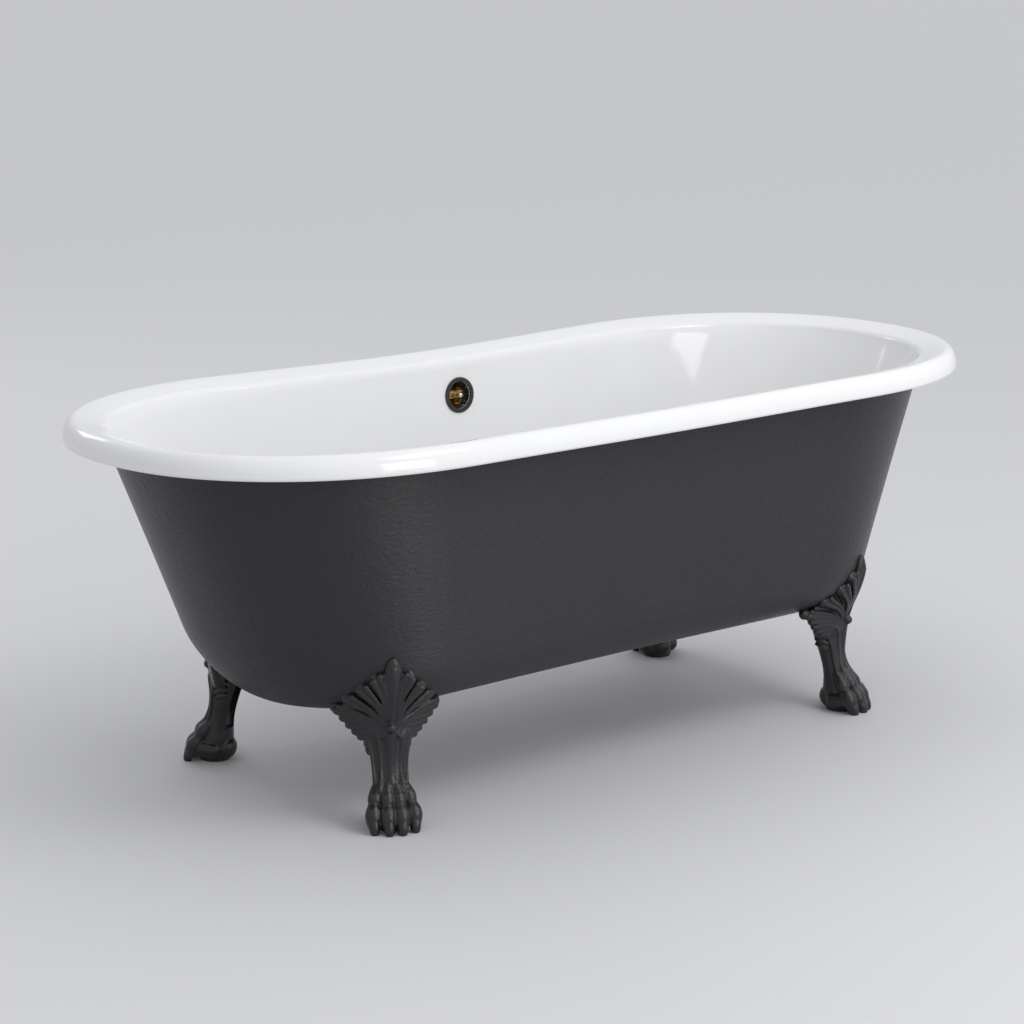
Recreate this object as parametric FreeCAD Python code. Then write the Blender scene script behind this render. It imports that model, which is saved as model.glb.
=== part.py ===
import FreeCAD, Part
import math
import os

# A double-ended cast-iron bath on four claw feet, in millimetres.
# X runs along the tub, -Y is the front, +Z is up; the origin is on the floor under the tub's middle.

Vec = FreeCAD.Vector
UP = Vec(0, 0, 1)
ORIGIN = Vec(0, 0, 0)

# rim, measured on its outermost line
LENGTH = 1700.0
RIM_HALF_WIDTH = 372.0
RIM_END = 440.0            # how far each rounded end reaches along the tub
RIM_HEIGHT = 614.0         # top of the rim at the two ends
RIM_DIP = 6.4              # how much lower the rim is in the middle
DIP_LENGTH = 360.0
WAIST = 20.6               # how far the long sides are drawn in at the middle
WAIST_LENGTH = 452.0
END_POWER_X = 2.2          # roundness of the ends in plan
END_POWER_Y = 2.17

# section through the rim
ROLL_REACH = 18.5          # outer roll: from its outermost line in to its top
ROLL_DROP = 30.0           # outermost line below the top
ROLL_UNDER = 10.0          # how far below that line the underside of the roll would reach
ROLL_TILT = 14.0           # degrees the top slopes down towards the inside
LIP_WRAP = 28.0            # degrees the enamel goes on under the roll
LIP_METAL = 34.0           # degrees the bare metal goes on past the enamel
INNER_ROLL_START = 56.0    # from the outermost line to the start of the inner roll
INNER_ROLL_RADIUS = 13.0
INNER_ROLL_END = 72.0      # degrees of slope where the inner roll meets the wall

# walls
CAST_WALL = 7.0
ENAMEL = 1.5
GLAZE_GAP = 0.05           # drawing clearance between iron and enamel
OVERHANG = 61.5            # rim's outermost line past the outside of the wall below it
WALL_TOP_DROP = 30.0       # below the rim height, where the overhang is measured
BASE_HEIGHT = 164.0        # underside of the tub above the floor
BASE_SETBACK_X = 252.5     # rim to where the end wall would meet the base
BASE_SETBACK_Y = 91.0
BASE_END = 206.6
BASE_ROUND_X = 40.0        # radii of the bottom edge: at the ends, at the sides, and upwards
BASE_ROUND_Y = 162.0
BASE_ROUND_Z = 93.0
DIP_FADE = 170.0           # depth over which the rim's dip fades out of the wall

# points along a quarter of each outline, and rings in each curved stretch
SIDE_STEPS = 6
END_STEPS = 12
ROLL_RINGS = 9
LIP_RINGS = 4
WALL_RINGS = 5
ROUND_RINGS = 7

# feet
FOOT_FROM_END = 349.0      # rim end to the foot's own centre, along the tub
FOOT_TURN = 28.0           # degrees each foot faces away from square to the side
FAN_TIP_HEIGHT = 278.0
FAN_TIP_FORWARD = 22.0     # fan tip in front of the foot's centre
FOOT_GAP = 1.0             # between the fan and the painted wall
FAN_ROOT = (-16.0, 158.0)  # forward and height of the place that the lobes spread from
FAN_ROOT_RADIUS = 7.0
LOBE_START = 0.2           # share of the way from the root to its tip where a lobe begins
LOBE_SHOULDER = 0.7        # how much a lobe's round end swells past its bar
FAN_BEAD = (-4.0, 160.0, 10.0)
# each lobe of the fan: sideways, height of its tip, radius, furthest back from the foot's centre
FAN_LOBES = (
    (0.0, FAN_TIP_HEIGHT, 17.0, 0.0),
    (25.0, 253.0, 13.0, 0.0),
    (43.0, 234.0, 12.5, -10.0),
    (62.0, 216.0, 13.0, -30.0),
    (80.0, 193.0, 12.5, -56.0),
    (66.0, 174.0, 12.0, -48.0),
    (50.0, 158.0, 11.0, -38.0),
)
# sections of the leg: height, forward, half depth, half width; the floor cuts the first ones
LEG_SECTIONS = (
    (-6.0, -6.0, 31.0, 31.0),
    (16.0, -6.0, 35.0, 37.0),
    (36.0, -10.0, 30.0, 34.0),
    (56.0, -16.0, 23.0, 28.0),
    (78.0, -21.0, 21.5, 25.5),
    (104.0, -27.0, 23.0, 27.0),
    (130.0, -32.0, 27.0, 31.0),
    (152.0, -34.0, 30.0, 36.0),
    (184.0, -30.0, 30.0, 34.0),
)
TOE_SIDES = (-31.0, -10.5, 10.5, 31.0)
TOE_PULL_BACK = 0.011      # outer toes sit further back by this times their distance squared
KNUCKLE_CLOSER = 0.8       # knuckles lie closer together than the toes by this share
CREASE = 1.5               # how much slimmer a toe is between its bulges
KNUCKLE = (14.0, 54.0, 12.0)
TOE = (27.0, 28.0, 13.8)
TOE_END = (33.0, 13.0, 10.9)
CLAW_LENGTH = 9.0
CLAW_RADIUS = 6.0
CLAW_TIP_RADIUS = 2.0
HEEL = (-24.0, 22.0, 23.0)
HEEL_PAD = (-9.0, 24.0, 21.0, 18.0)
TENDON = (6.5, 4.0)        # radii of the ridge down the front of the leg
SCROLL = (9.0, 5.0)        # radii of the ridges down its sides

# lugs, bolts and washers
LUG_DROP = 2.0             # lug seat below the tub's underside
LUG_BACK = 48.0            # bolt behind the foot's centre
LUG_SIZE = 38.0
LUG_CLEARANCE = 0.5
EAR_THICKNESS = 12.0
HOLLOW_BACK = 32.0         # the leg is hollow from this far behind the foot's centre
HOLLOW_WIDTH = 30.0
HOLLOW_BOTTOM = 56.0
BOLT_RADIUS = 5.0
THREAD_GAP = 0.05
BOLT_HOLE_GAP = 0.6
BOLT_REACH = 10.0          # thread in the lug
BOLT_HEAD_FLATS = 17.0
BOLT_HEAD_HEIGHT = 6.4
WASHER_RADIUS = 12.0
WASHER_THICKNESS = 2.5
LUG_SEAT = BASE_HEIGHT - LUG_DROP
EAR_SEAT = LUG_SEAT - EAR_THICKNESS

# waste, in the floor of the tub
WASTE_X = 65.0
WASTE_Y = 55.0
WASTE_HOLE_RADIUS = 25.0
SEAT_GAP = 0.2             # gaskets stand this far off a curved or cast face
GASKET_THICKNESS = 1.6
LOWER_GASKET_THICKNESS = 3.0
FLANGE_RADIUS = 35.0
FLANGE_THICKNESS = 4.6
FLANGE_RECESS = 3.0
TAIL_RADIUS = 22.0
TAIL_BORE = 19.5
TAIL_LENGTH = 40.0
HUB_RADIUS = 8.0
HUB_HEIGHT = 10.0
HUB_DROP = 4.0
SPOKE_WIDTH = 4.0
SPOKES = 4
BODY_RADIUS = 27.0
BODY_RIM_RADIUS = 34.0
BODY_RIM_THICKNESS = 4.0
BODY_DEPTH = 48.0
OUTLET_RADIUS = 23.9       # 1 1/2 inch pipe thread, male
OUTLET_LENGTH = 16.0
OUTLET_BORE = 19.0
BRANCH_DROP = 30.0         # branch centre below the tub's underside
BRANCH_LENGTH = 26.0

# stopper
CARTRIDGE_RADIUS = 5.0
CARTRIDGE_LENGTH = 26.0
STEM_RADIUS = 3.2
RUNNING_GAP = 0.05
STOPPER_TRAVEL = 9.0
CAP_RADIUS = 29.0
CAP_RIM = 2.2
CAP_CROWN = 4.0
SEAL_WIDTH = 5.0
SEAL_HEIGHT = 2.0
STOPPER_GAP = 0.3

# overflow, in the far wall
OVERFLOW_DROP = 81.0       # centre of the overflow below the rim height
OVERFLOW_HEIGHT = RIM_HEIGHT - OVERFLOW_DROP
OVERFLOW_HOLE_RADIUS = 24.0
FACE_RADIUS = 33.0
FACE_RIM_WIDTH = 5.0
FACE_HEIGHT = 6.5
FACE_SHEET = 1.8
FACE_DISH = 1.6            # face sheet below the top of its rim
TEAR_COUNT = 8
TEAR_RING = 17.0
TEAR_RADIUS = 3.4
TEAR_POINT = 8.5
PINHOLE_COUNT = 6
PINHOLE_RING = 6.2
PINHOLE_RADIUS = 0.8
SCREW_RADIUS = 2.5
SCREW_HEAD_RADIUS = 4.2
SCREW_HEAD_HEIGHT = 2.2
SCREW_HOLE_GAP = 0.4
SCREW_REACH = 5.0          # past the back of the bridge
REAR_GASKET = 3.0
ELBOW_RADIUS = 25.0
ELBOW_WALL = 3.0
ELBOW_RIM_RADIUS = 31.0
ELBOW_RIM_THICKNESS = 4.0
ELBOW_DEPTH = 44.0
BRIDGE_THICKNESS = 6.0
BRIDGE_WIDTH = 12.0

# overflow pipe and its joints
PIPE_RADIUS = 14.0
PIPE_WALL = 1.2
PIPE_BEND = 45.0
PIPE_GAP = 0.05
SOCKET_WALL = 4.0
SOCKET_LENGTH = 40.0       # from the elbow's centre down
PIPE_ENTRY = 12.0          # pipe inside each socket
SEAL_THICKNESS = 4.0
NUT_WALL = 3.4
NUT_LENGTH = 15.0
NUT_CAP = 2.5

STEP_IN_WALL = 5.0         # half of the height over which the wall's slope is measured


def turned(degrees):
    """Cosine and sine of an angle in degrees."""
    return math.cos(math.radians(degrees)), math.sin(math.radians(degrees))


def section(a, b, end, waist):
    """The four sizes of an outline: half length, half width, length of its ends, waist."""
    return {"a": a, "b": b, "end": end, "waist": waist}


def waisted(side, x, sizes):
    return side * (1.0 - sizes["waist"] / sizes["b"] * math.exp(-(x / WAIST_LENGTH) ** 2))


def half_width(x, sizes):
    """Half width of an outline at x."""
    reach = max(0.0, (abs(x) - (sizes["a"] - sizes["end"])) / sizes["end"])
    if reach >= 1.0:
        return 0.0
    side = sizes["b"] * (1.0 - reach ** END_POWER_X) ** (1.0 / END_POWER_Y)
    return waisted(side, x, sizes)


def quarter_points(sizes):
    """Points of an outline from the middle of a long side to the tip of an end."""
    straight = sizes["a"] - sizes["end"]
    points = []
    for i in range(SIDE_STEPS):
        x = straight * i / SIDE_STEPS
        points.append((x, waisted(sizes["b"], x, sizes)))
    for i in range(END_STEPS + 1):
        cos, sin = turned(90.0 * i / END_STEPS)
        x = straight + sizes["end"] * sin ** (2.0 / END_POWER_X)
        side = sizes["b"] * max(0.0, cos) ** (2.0 / END_POWER_Y)
        points.append((x, waisted(side, x, sizes)))
    return points


def ring_points(sizes, z, dip_share=0.0):
    """Points all round an outline, starting at the tip of the +X end."""
    quarter = quarter_points(sizes)
    quarter[-1] = (quarter[-1][0], 0.0)
    first = quarter[:0:-1]
    second = [(-x, y) for x, y in quarter[:-1]]
    third = [(-x, -y) for x, y in first]
    fourth = [(x, -y) for x, y in quarter[:-1]]
    flat = first + second + third + fourth
    points = []
    for x, y in flat:
        dip = RIM_DIP * dip_share * math.exp(-(x / DIP_LENGTH) ** 2)
        points.append(Vec(x, y, z - dip))
    return points


def rim_section(inward):
    return section(LENGTH / 2 - inward, RIM_HALF_WIDTH - inward, RIM_END - inward, WAIST)


def spacing():
    """One spacing of the spline's knots for every ring, so that rings match point by point."""
    points = ring_points(rim_section(0.0), 0.0)
    points.append(points[0])
    total = [0.0]
    for before, after in zip(points, points[1:]):
        total.append(total[-1] + (after - before).Length)
    return [value / total[-1] for value in total]


KNOTS = spacing()


def ring(points):
    curve = Part.BSplineCurve()
    curve.interpolate(Points=points, PeriodicFlag=True, Parameters=KNOTS)
    return Part.Wire([curve.toShape()])


def body_section(z, inset):
    """Outline of the tub's outside at a height, or of a surface that lies deeper by inset."""
    round_z = BASE_ROUND_Z - inset
    fall = (BASE_HEIGHT + inset + round_z - z) / round_z
    tuck = 1.0 - math.sqrt(1.0 - max(0.0, min(1.0, fall)) ** 2)
    rise = (z - BASE_HEIGHT) / (RIM_HEIGHT - WALL_TOP_DROP - BASE_HEIGHT)
    a = LENGTH / 2 - BASE_SETBACK_X + (BASE_SETBACK_X - OVERHANG) * rise
    b = RIM_HALF_WIDTH - BASE_SETBACK_Y + (BASE_SETBACK_Y - OVERHANG) * rise
    end = BASE_END + (RIM_END - OVERHANG - BASE_END) * rise
    a -= inset + tuck * (BASE_ROUND_X - inset)
    b -= inset + tuck * (BASE_ROUND_Y - inset)
    end -= inset + tuck * (BASE_ROUND_X - inset)
    return section(a, b, end, WAIST * b / RIM_HALF_WIDTH)


def body_ring(z, inset):
    depth = (RIM_HEIGHT - z) / DIP_FADE
    return ring(ring_points(body_section(z, inset), z, max(0.0, 1.0 - depth) ** 2))


def roll_ring(angle, cover):
    """Ring on the outer roll; 0 degrees is its outermost line and 90 its top."""
    cos, sin = turned(angle)
    height = ROLL_DROP if angle > 0 else ROLL_UNDER
    inward = ROLL_REACH - (ROLL_REACH - cover) * cos
    return ring(ring_points(rim_section(inward), RIM_HEIGHT - ROLL_DROP + (height - cover) * sin, 1.0))


def roll_end():
    """Angle on the outer roll where its top has turned down to the tilt."""
    cos, sin = turned(ROLL_TILT)
    return 90.0 + math.degrees(math.atan(sin / cos * ROLL_REACH / ROLL_DROP))


def inner_roll_ring(slope, cover):
    """Ring on the roll where the top of the rim turns down into the wall."""
    cos, sin = turned(roll_end())
    end_in = ROLL_REACH * (1.0 - cos)
    end_drop = ROLL_DROP * (1.0 - sin)
    cos, sin = turned(ROLL_TILT)
    drop = end_drop + (INNER_ROLL_START - end_in) * sin / cos
    centre_in = INNER_ROLL_START - INNER_ROLL_RADIUS * sin
    centre_drop = drop + INNER_ROLL_RADIUS * cos
    cos, sin = turned(slope)
    radius = INNER_ROLL_RADIUS - cover
    inward = centre_in + radius * sin
    return ring(ring_points(rim_section(inward), RIM_HEIGHT - centre_drop + radius * cos, 1.0))


def steps(first, last, count):
    return [first + (last - first) * i / (count - 1) for i in range(count)]


def skin(rings):
    """Faces between neighbouring rings: smooth through many, straight between two."""
    return Part.makeLoft(rings, False, len(rings) == 2).Faces


def tub_surface(cover, wrap):
    """One surface of the tub from its lip over the rim and down to the middle of its floor.

    It lies deeper than the glazed surface by cover. Returns its faces and the lip's ring."""
    inset = CAST_WALL + GLAZE_GAP + ENAMEL - cover
    start = min(wrap, LIP_WRAP)
    outer = [roll_ring(angle, cover) for angle in steps(-start, roll_end(), ROLL_RINGS)]
    lip = [outer[0]]
    if wrap > start:
        lip = [roll_ring(angle, cover) for angle in steps(-wrap, -start, LIP_RINGS)[:-1]] + lip
    inner = [inner_roll_ring(angle, cover) for angle in steps(ROLL_TILT, INNER_ROLL_END, ROLL_RINGS)]
    wall_foot = BASE_HEIGHT + BASE_ROUND_Z
    levels = steps(RIM_HEIGHT - 2 * ROLL_REACH - cover, wall_foot, WALL_RINGS)
    wall = [inner[-1]] + [body_ring(z, inset) for z in levels]
    rounding = []
    for angle in steps(0.0, 90.0, ROUND_RINGS):
        drop = (BASE_ROUND_Z - inset) * turned(angle)[1]
        rounding.append(body_ring(wall_foot - drop, inset))
    wall[-1] = rounding[0]
    faces = skin(outer) + skin([outer[-1], inner[0]]) + skin(inner) + skin(wall) + skin(rounding)
    if wrap > start:
        faces += skin(lip)
    faces.append(Part.Face(rounding[-1]))
    return faces, lip[0]


def closed(faces):
    shell = Part.makeShell(faces)
    shell.sewShape()
    solid = Part.Solid(shell)
    if solid.Volume < 0:
        solid.reverse()
    return solid


def tub_layer(front_cover, front_wrap, back_cover, back_wrap):
    """A layer of the tub between two surfaces, closed by a narrow face along its lip."""
    front, front_lip = tub_surface(front_cover, front_wrap)
    back, back_lip = tub_surface(back_cover, back_wrap)
    return closed(front + back + skin([front_lip, back_lip]))


def body_block(inset, top):
    """The tub below a height as one solid block, without its rim."""
    wall_foot = BASE_HEIGHT + BASE_ROUND_Z
    rounding = []
    for angle in steps(0.0, 90.0, ROUND_RINGS):
        drop = (BASE_ROUND_Z - inset) * turned(angle)[1]
        rounding.append(ring(ring_points(body_section(wall_foot - drop, inset), wall_foot - drop)))
    above = ring(ring_points(body_section(top, inset), top))
    faces = skin(rounding) + skin([rounding[0], above])
    return closed(faces + [Part.Face(rounding[-1]), Part.Face(above)])


def cylinder(radius, height, base=ORIGIN, axis=UP):
    return Part.makeCylinder(radius, height, base, axis)


def tube(outer, inner, height, base=ORIGIN):
    return cylinder(outer, height, base).cut(cylinder(inner, height, base))


def hexagon(flats, height, base=ORIGIN):
    corners = []
    for i in range(7):
        cos, sin = turned(60.0 * i)
        corners.append(Vec(cos, sin, 0) * (flats / math.sqrt(3.0)) + base)
    return Part.Face(Part.makePolygon(corners)).extrude(UP * height)


def box_about(x_size, y_size, z_size, base):
    corner = base - Vec(x_size / 2, y_size / 2, 0)
    return Part.makeBox(x_size, y_size, z_size, corner)


def revolved(profile):
    """A solid turned about Z from points (radius, height)."""
    points = [Vec(r, 0, z) for r, z in profile]
    face = Part.Face(Part.makePolygon(points + [points[0]]))
    return face.revolve(ORIGIN, UP, 360)


def moved(shape, base):
    copy = shape.copy()
    copy.translate(base)
    return copy


# ---- feet: shaped at the front left corner, and mirrored or turned round to the other corners ----

class Stand:
    """Where the front left foot stands."""

    def __init__(self):
        cos, sin = turned(FOOT_TURN)
        self.forward = Vec(-sin, -cos, 0)
        self.sideways = Vec(cos, -sin, 0)
        tip_x = -(LENGTH / 2 - FOOT_FROM_END + FAN_TIP_FORWARD * sin)
        tip_y = -half_width(tip_x, body_section(FAN_TIP_HEIGHT, 0.0))
        self.centre = Vec(tip_x, tip_y, 0) - self.forward * FAN_TIP_FORWARD

    def at(self, forward, sideways, height):
        return self.centre + self.forward * forward + self.sideways * sideways + UP * height

    def on_wall(self, sideways, height):
        """How far forward of the foot's centre the painted wall lies."""
        sizes = body_section(height, 0.0)
        inside = -LENGTH / 4
        outside = LENGTH / 4
        while outside - inside > 0.01:
            middle = (inside + outside) / 2
            point = self.at(middle, sideways, 0)
            if abs(point.y) < half_width(point.x, sizes) and point.y < 0:
                inside = middle
            else:
                outside = middle
        return outside

    def box(self, front, depth, width, low, high, grow=0.0):
        """A box square to the foot: from its front back by depth, between two heights."""
        shape = Part.makeBox(depth + 2 * grow, width + 2 * grow, high - low)
        shape.translate(Vec(-depth - grow, -width / 2 - grow, 0))
        shape.rotate(ORIGIN, UP, math.degrees(math.atan2(self.forward.y, self.forward.x)))
        shape.translate(self.at(front, 0, low))
        return shape

    def lug_box(self, grow=0.0):
        top = LUG_SEAT + BASE_ROUND_Z
        return self.box(-LUG_BACK + LUG_SIZE / 2, LUG_SIZE, LUG_SIZE, LUG_SEAT, top, grow)


def taper(start, start_radius, finish, finish_radius):
    """A round bar that runs from one radius to another."""
    way = finish - start
    return Part.makeCone(start_radius, finish_radius, way.Length, start, way)


def fused(pieces):
    return pieces[0].multiFuse(pieces[1:])


def both_sides(sideways):
    return (0.0,) if sideways == 0 else (sideways, -sideways)


def fan(stand):
    """The shell-shaped fan: lobes that spread from the top of the leg over the wall."""
    root = stand.at(FAN_ROOT[0], 0, FAN_ROOT[1])
    pieces = [Part.makeSphere(FAN_BEAD[2], stand.at(FAN_BEAD[0], 0, FAN_BEAD[1]))]
    for sideways, tip_height, radius, furthest_back in FAN_LOBES:
        height = tip_height - radius
        for place in both_sides(sideways):
            forward = max(stand.on_wall(place, height), furthest_back)
            lobe_end = stand.at(forward, place, height)
            pieces.append(Part.makeSphere(radius, lobe_end))
            start = root + (lobe_end - root) * LOBE_START
            pieces.append(taper(start, FAN_ROOT_RADIUS, lobe_end, radius - LOBE_SHOULDER))
    return pieces


def leg(stand):
    """The leg, a smooth run of oval sections, with a ridge down its front and sides."""
    turn = math.degrees(math.atan2(stand.forward.y, stand.forward.x))
    ovals = []
    for height, forward, depth, width in LEG_SECTIONS:
        curve = Part.Ellipse(ORIGIN, max(depth, width), min(depth, width))
        oval = Part.Wire([curve.toShape()])
        oval.rotate(ORIGIN, UP, turn if depth > width else turn + 90)
        oval.translate(stand.at(forward, 0, height))
        ovals.append(oval)
    pieces = [Part.makeLoft(ovals, True, False)]
    low, high = LEG_SECTIONS[3], LEG_SECTIONS[6]
    low_ridge = stand.at(low[1] + low[2] - TENDON[0] / 2, 0, low[0])
    high_ridge = stand.at(high[1] + high[2] - TENDON[1] / 2, 0, high[0] + TENDON[0])
    pieces.append(taper(low_ridge, TENDON[0], high_ridge, TENDON[1]))
    for side in (1, -1):
        low_end = stand.at(low[1], side * (low[3] - SCROLL[1] / 2), low[0])
        high_end = stand.at(high[1] + SCROLL[0], side * (high[3] - SCROLL[1] / 2), high[0] + SCROLL[0])
        pieces.append(taper(low_end, SCROLL[1], high_end, SCROLL[0] - LOBE_SHOULDER))
        pieces.append(Part.makeSphere(SCROLL[0], high_end))
    return pieces


def paw(stand):
    """Heel, pads and four toes, each with a knuckle and a claw."""
    pieces = [Part.makeSphere(HEEL[2], stand.at(HEEL[0], 0, HEEL[1]))]
    for side in (1, -1):
        pad = stand.at(HEEL_PAD[0], side * HEEL_PAD[1], HEEL_PAD[2])
        pieces.append(Part.makeSphere(HEEL_PAD[3], pad))
    for sideways in TOE_SIDES:
        back = TOE_PULL_BACK * sideways ** 2
        knuckle = stand.at(KNUCKLE[0] - back, sideways * KNUCKLE_CLOSER, KNUCKLE[1])
        toe = stand.at(TOE[0] - back, sideways, TOE[1])
        toe_end = stand.at(TOE_END[0] - back, sideways, TOE_END[1])
        claw_tip = stand.at(TOE_END[0] - back + CLAW_LENGTH, sideways, CLAW_TIP_RADIUS)
        pieces.append(Part.makeSphere(KNUCKLE[2], knuckle))
        pieces.append(taper(knuckle, KNUCKLE[2] - CREASE, toe, TOE[2] - CREASE))
        pieces.append(Part.makeSphere(TOE[2], toe))
        pieces.append(taper(toe, TOE[2] - CREASE, toe_end, TOE_END[2] - CREASE))
        pieces.append(Part.makeSphere(TOE_END[2], toe_end))
        pieces.append(taper(toe_end, CLAW_RADIUS, claw_tip, CLAW_TIP_RADIUS))
    return pieces


def claw_foot(stand):
    """A foot, cut to the wall it follows, the lug it holds and the floor, and hollow behind its leg."""
    foot = fused(leg(stand)).fuse(fused(paw(stand))).fuse(fused(fan(stand)))
    wall = body_block(-FOOT_GAP, FAN_TIP_HEIGHT + BASE_ROUND_Z)
    hole = cylinder(BOLT_RADIUS + BOLT_HOLE_GAP, 2 * EAR_THICKNESS, stand.at(-LUG_BACK, 0, EAR_SEAT))
    below = box_about(BASE_HEIGHT * 2, BASE_HEIGHT * 2, TOE[2] * 2, stand.centre - UP * TOE[2] * 2)
    hollow = stand.box(-HOLLOW_BACK, LUG_BACK, HOLLOW_WIDTH, HOLLOW_BOTTOM, EAR_SEAT)
    foot = foot.cut([wall, below, stand.lug_box(LUG_CLEARANCE), hole, hollow])
    return max(foot.Solids, key=lambda solid: solid.Volume)


def foot_bolt(stand):
    base = stand.at(-LUG_BACK, 0, EAR_SEAT - WASHER_THICKNESS)
    shank = cylinder(BOLT_RADIUS, WASHER_THICKNESS + EAR_THICKNESS + BOLT_REACH, base)
    return shank.fuse(hexagon(BOLT_HEAD_FLATS, BOLT_HEAD_HEIGHT, base - UP * BOLT_HEAD_HEIGHT))


def foot_washer(stand):
    base = stand.at(-LUG_BACK, 0, EAR_SEAT - WASHER_THICKNESS)
    return tube(WASHER_RADIUS, BOLT_RADIUS + BOLT_HOLE_GAP, WASHER_THICKNESS, base)


def lug(stand):
    """The block cast under the tub that a foot is bolted to."""
    thread = BOLT_REACH + LUG_CLEARANCE
    hole = cylinder(BOLT_RADIUS + THREAD_GAP, thread, stand.at(-LUG_BACK, 0, LUG_SEAT))
    return stand.lug_box().cut([body_block(CAST_WALL, FAN_TIP_HEIGHT + BASE_ROUND_Z), hole])


def at_corners(make):
    """A piece at the four corners of the tub, by the corner's name."""
    left = make(Stand())
    right = left.mirror(ORIGIN, Vec(1, 0, 0))
    corners = {"front_left": left, "front_right": right, "back_left": right.copy(), "back_right": left.copy()}
    corners["back_left"].rotate(ORIGIN, UP, 180)
    corners["back_right"].rotate(ORIGIN, UP, 180)
    return corners


# ---- overflow: shaped about its own axis, which points into the tub square to the wall ----

def inner_wall(z):
    return half_width(WASTE_X, body_section(z, CAST_WALL + GLAZE_GAP + ENAMEL))


def overflow_placement():
    """Carries a shape from its own axis, with the glazed wall at zero, to the far wall."""
    lean = inner_wall(OVERFLOW_HEIGHT + STEP_IN_WALL) - inner_wall(OVERFLOW_HEIGHT - STEP_IN_WALL)
    axis = Vec(0, -2 * STEP_IN_WALL, lean)
    place = Vec(WASTE_X, inner_wall(OVERFLOW_HEIGHT), OVERFLOW_HEIGHT)
    return FreeCAD.Placement(place, FreeCAD.Rotation(Vec(1, 0, 0), axis.cross(Vec(-1, 0, 0)), axis, "ZXY"))


OVERFLOW = overflow_placement()
WALL_DEPTH = (CAST_WALL + GLAZE_GAP + ENAMEL) * abs(OVERFLOW.Rotation.multVec(UP).y)
REAR = -WALL_DEPTH - SEAT_GAP          # outside of the wall, on the overflow's axis
ELBOW_FACE = REAR - REAR_GASKET
ELBOW_BACK = ELBOW_FACE - ELBOW_DEPTH
PIPE_TOP = OVERFLOW.multVec(Vec(0, 0, ELBOW_BACK + ELBOW_RADIUS))
BRIDGE_BACK = ELBOW_FACE - BRIDGE_THICKNESS


def on_overflow(shape):
    copy = shape.copy()
    copy.Placement = OVERFLOW.multiply(copy.Placement)
    return copy


def teardrop(height):
    """A hole with a round outer end and a point towards the middle of the plate."""
    run = TEAR_RING - TEAR_POINT
    along = TEAR_RADIUS ** 2 / run
    across = TEAR_RADIUS * math.sqrt(1.0 - (TEAR_RADIUS / run) ** 2)
    round_end = cylinder(TEAR_RADIUS, height, Vec(TEAR_RING, 0, 0))
    corners = (Vec(TEAR_POINT, 0, 0), Vec(TEAR_RING - along, across, 0), Vec(TEAR_RING - along, -across, 0))
    point = Part.Face(Part.makePolygon(corners + corners[:1])).extrude(UP * height)
    return round_end.fuse(point)


def overflow_faceplate():
    outer, inner = FACE_RADIUS, FACE_RADIUS - FACE_RIM_WIDTH
    top = FACE_HEIGHT
    sheet = top - FACE_DISH
    edge = FACE_SHEET
    profile = (
        (0, sheet), (inner, sheet), (inner + edge, top), (outer - edge, top), (outer, sheet),
        (outer, SEAT_GAP), (outer - edge, SEAT_GAP), (outer - edge, sheet - edge), (0, sheet - edge),
    )
    plate = revolved(profile)
    cuts = [cylinder(SCREW_RADIUS + SCREW_HOLE_GAP, top)]
    for i in range(TEAR_COUNT):
        hole = teardrop(top)
        hole.rotate(ORIGIN, UP, 360.0 * i / TEAR_COUNT)
        cuts.append(hole)
    for i in range(PINHOLE_COUNT):
        cos, sin = turned(360.0 * i / PINHOLE_COUNT)
        cuts.append(cylinder(PINHOLE_RADIUS, top, Vec(cos, sin, 0) * PINHOLE_RING))
    return on_overflow(plate.cut(cuts))


def overflow_screw():
    seat = FACE_HEIGHT - FACE_DISH
    tip = BRIDGE_BACK - SCREW_REACH
    head = Part.makeSphere(SCREW_HEAD_RADIUS, Vec(0, 0, seat + SCREW_HEAD_HEIGHT - SCREW_HEAD_RADIUS))
    head = head.common(cylinder(SCREW_HEAD_RADIUS, SCREW_HEAD_HEIGHT, Vec(0, 0, seat)))
    return on_overflow(head.fuse(cylinder(SCREW_RADIUS, seat - tip, Vec(0, 0, tip))))


def overflow_front_gasket():
    height = FACE_HEIGHT - FACE_DISH - FACE_SHEET - SEAT_GAP
    outer = FACE_RADIUS - FACE_SHEET - SEAT_GAP
    return on_overflow(tube(outer, OVERFLOW_HOLE_RADIUS, height, Vec(0, 0, SEAT_GAP)))


def overflow_rear_gasket():
    base = Vec(0, 0, ELBOW_FACE)
    return on_overflow(tube(ELBOW_RIM_RADIUS, OVERFLOW_HOLE_RADIUS - ELBOW_WALL, REAR_GASKET, base))


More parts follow.
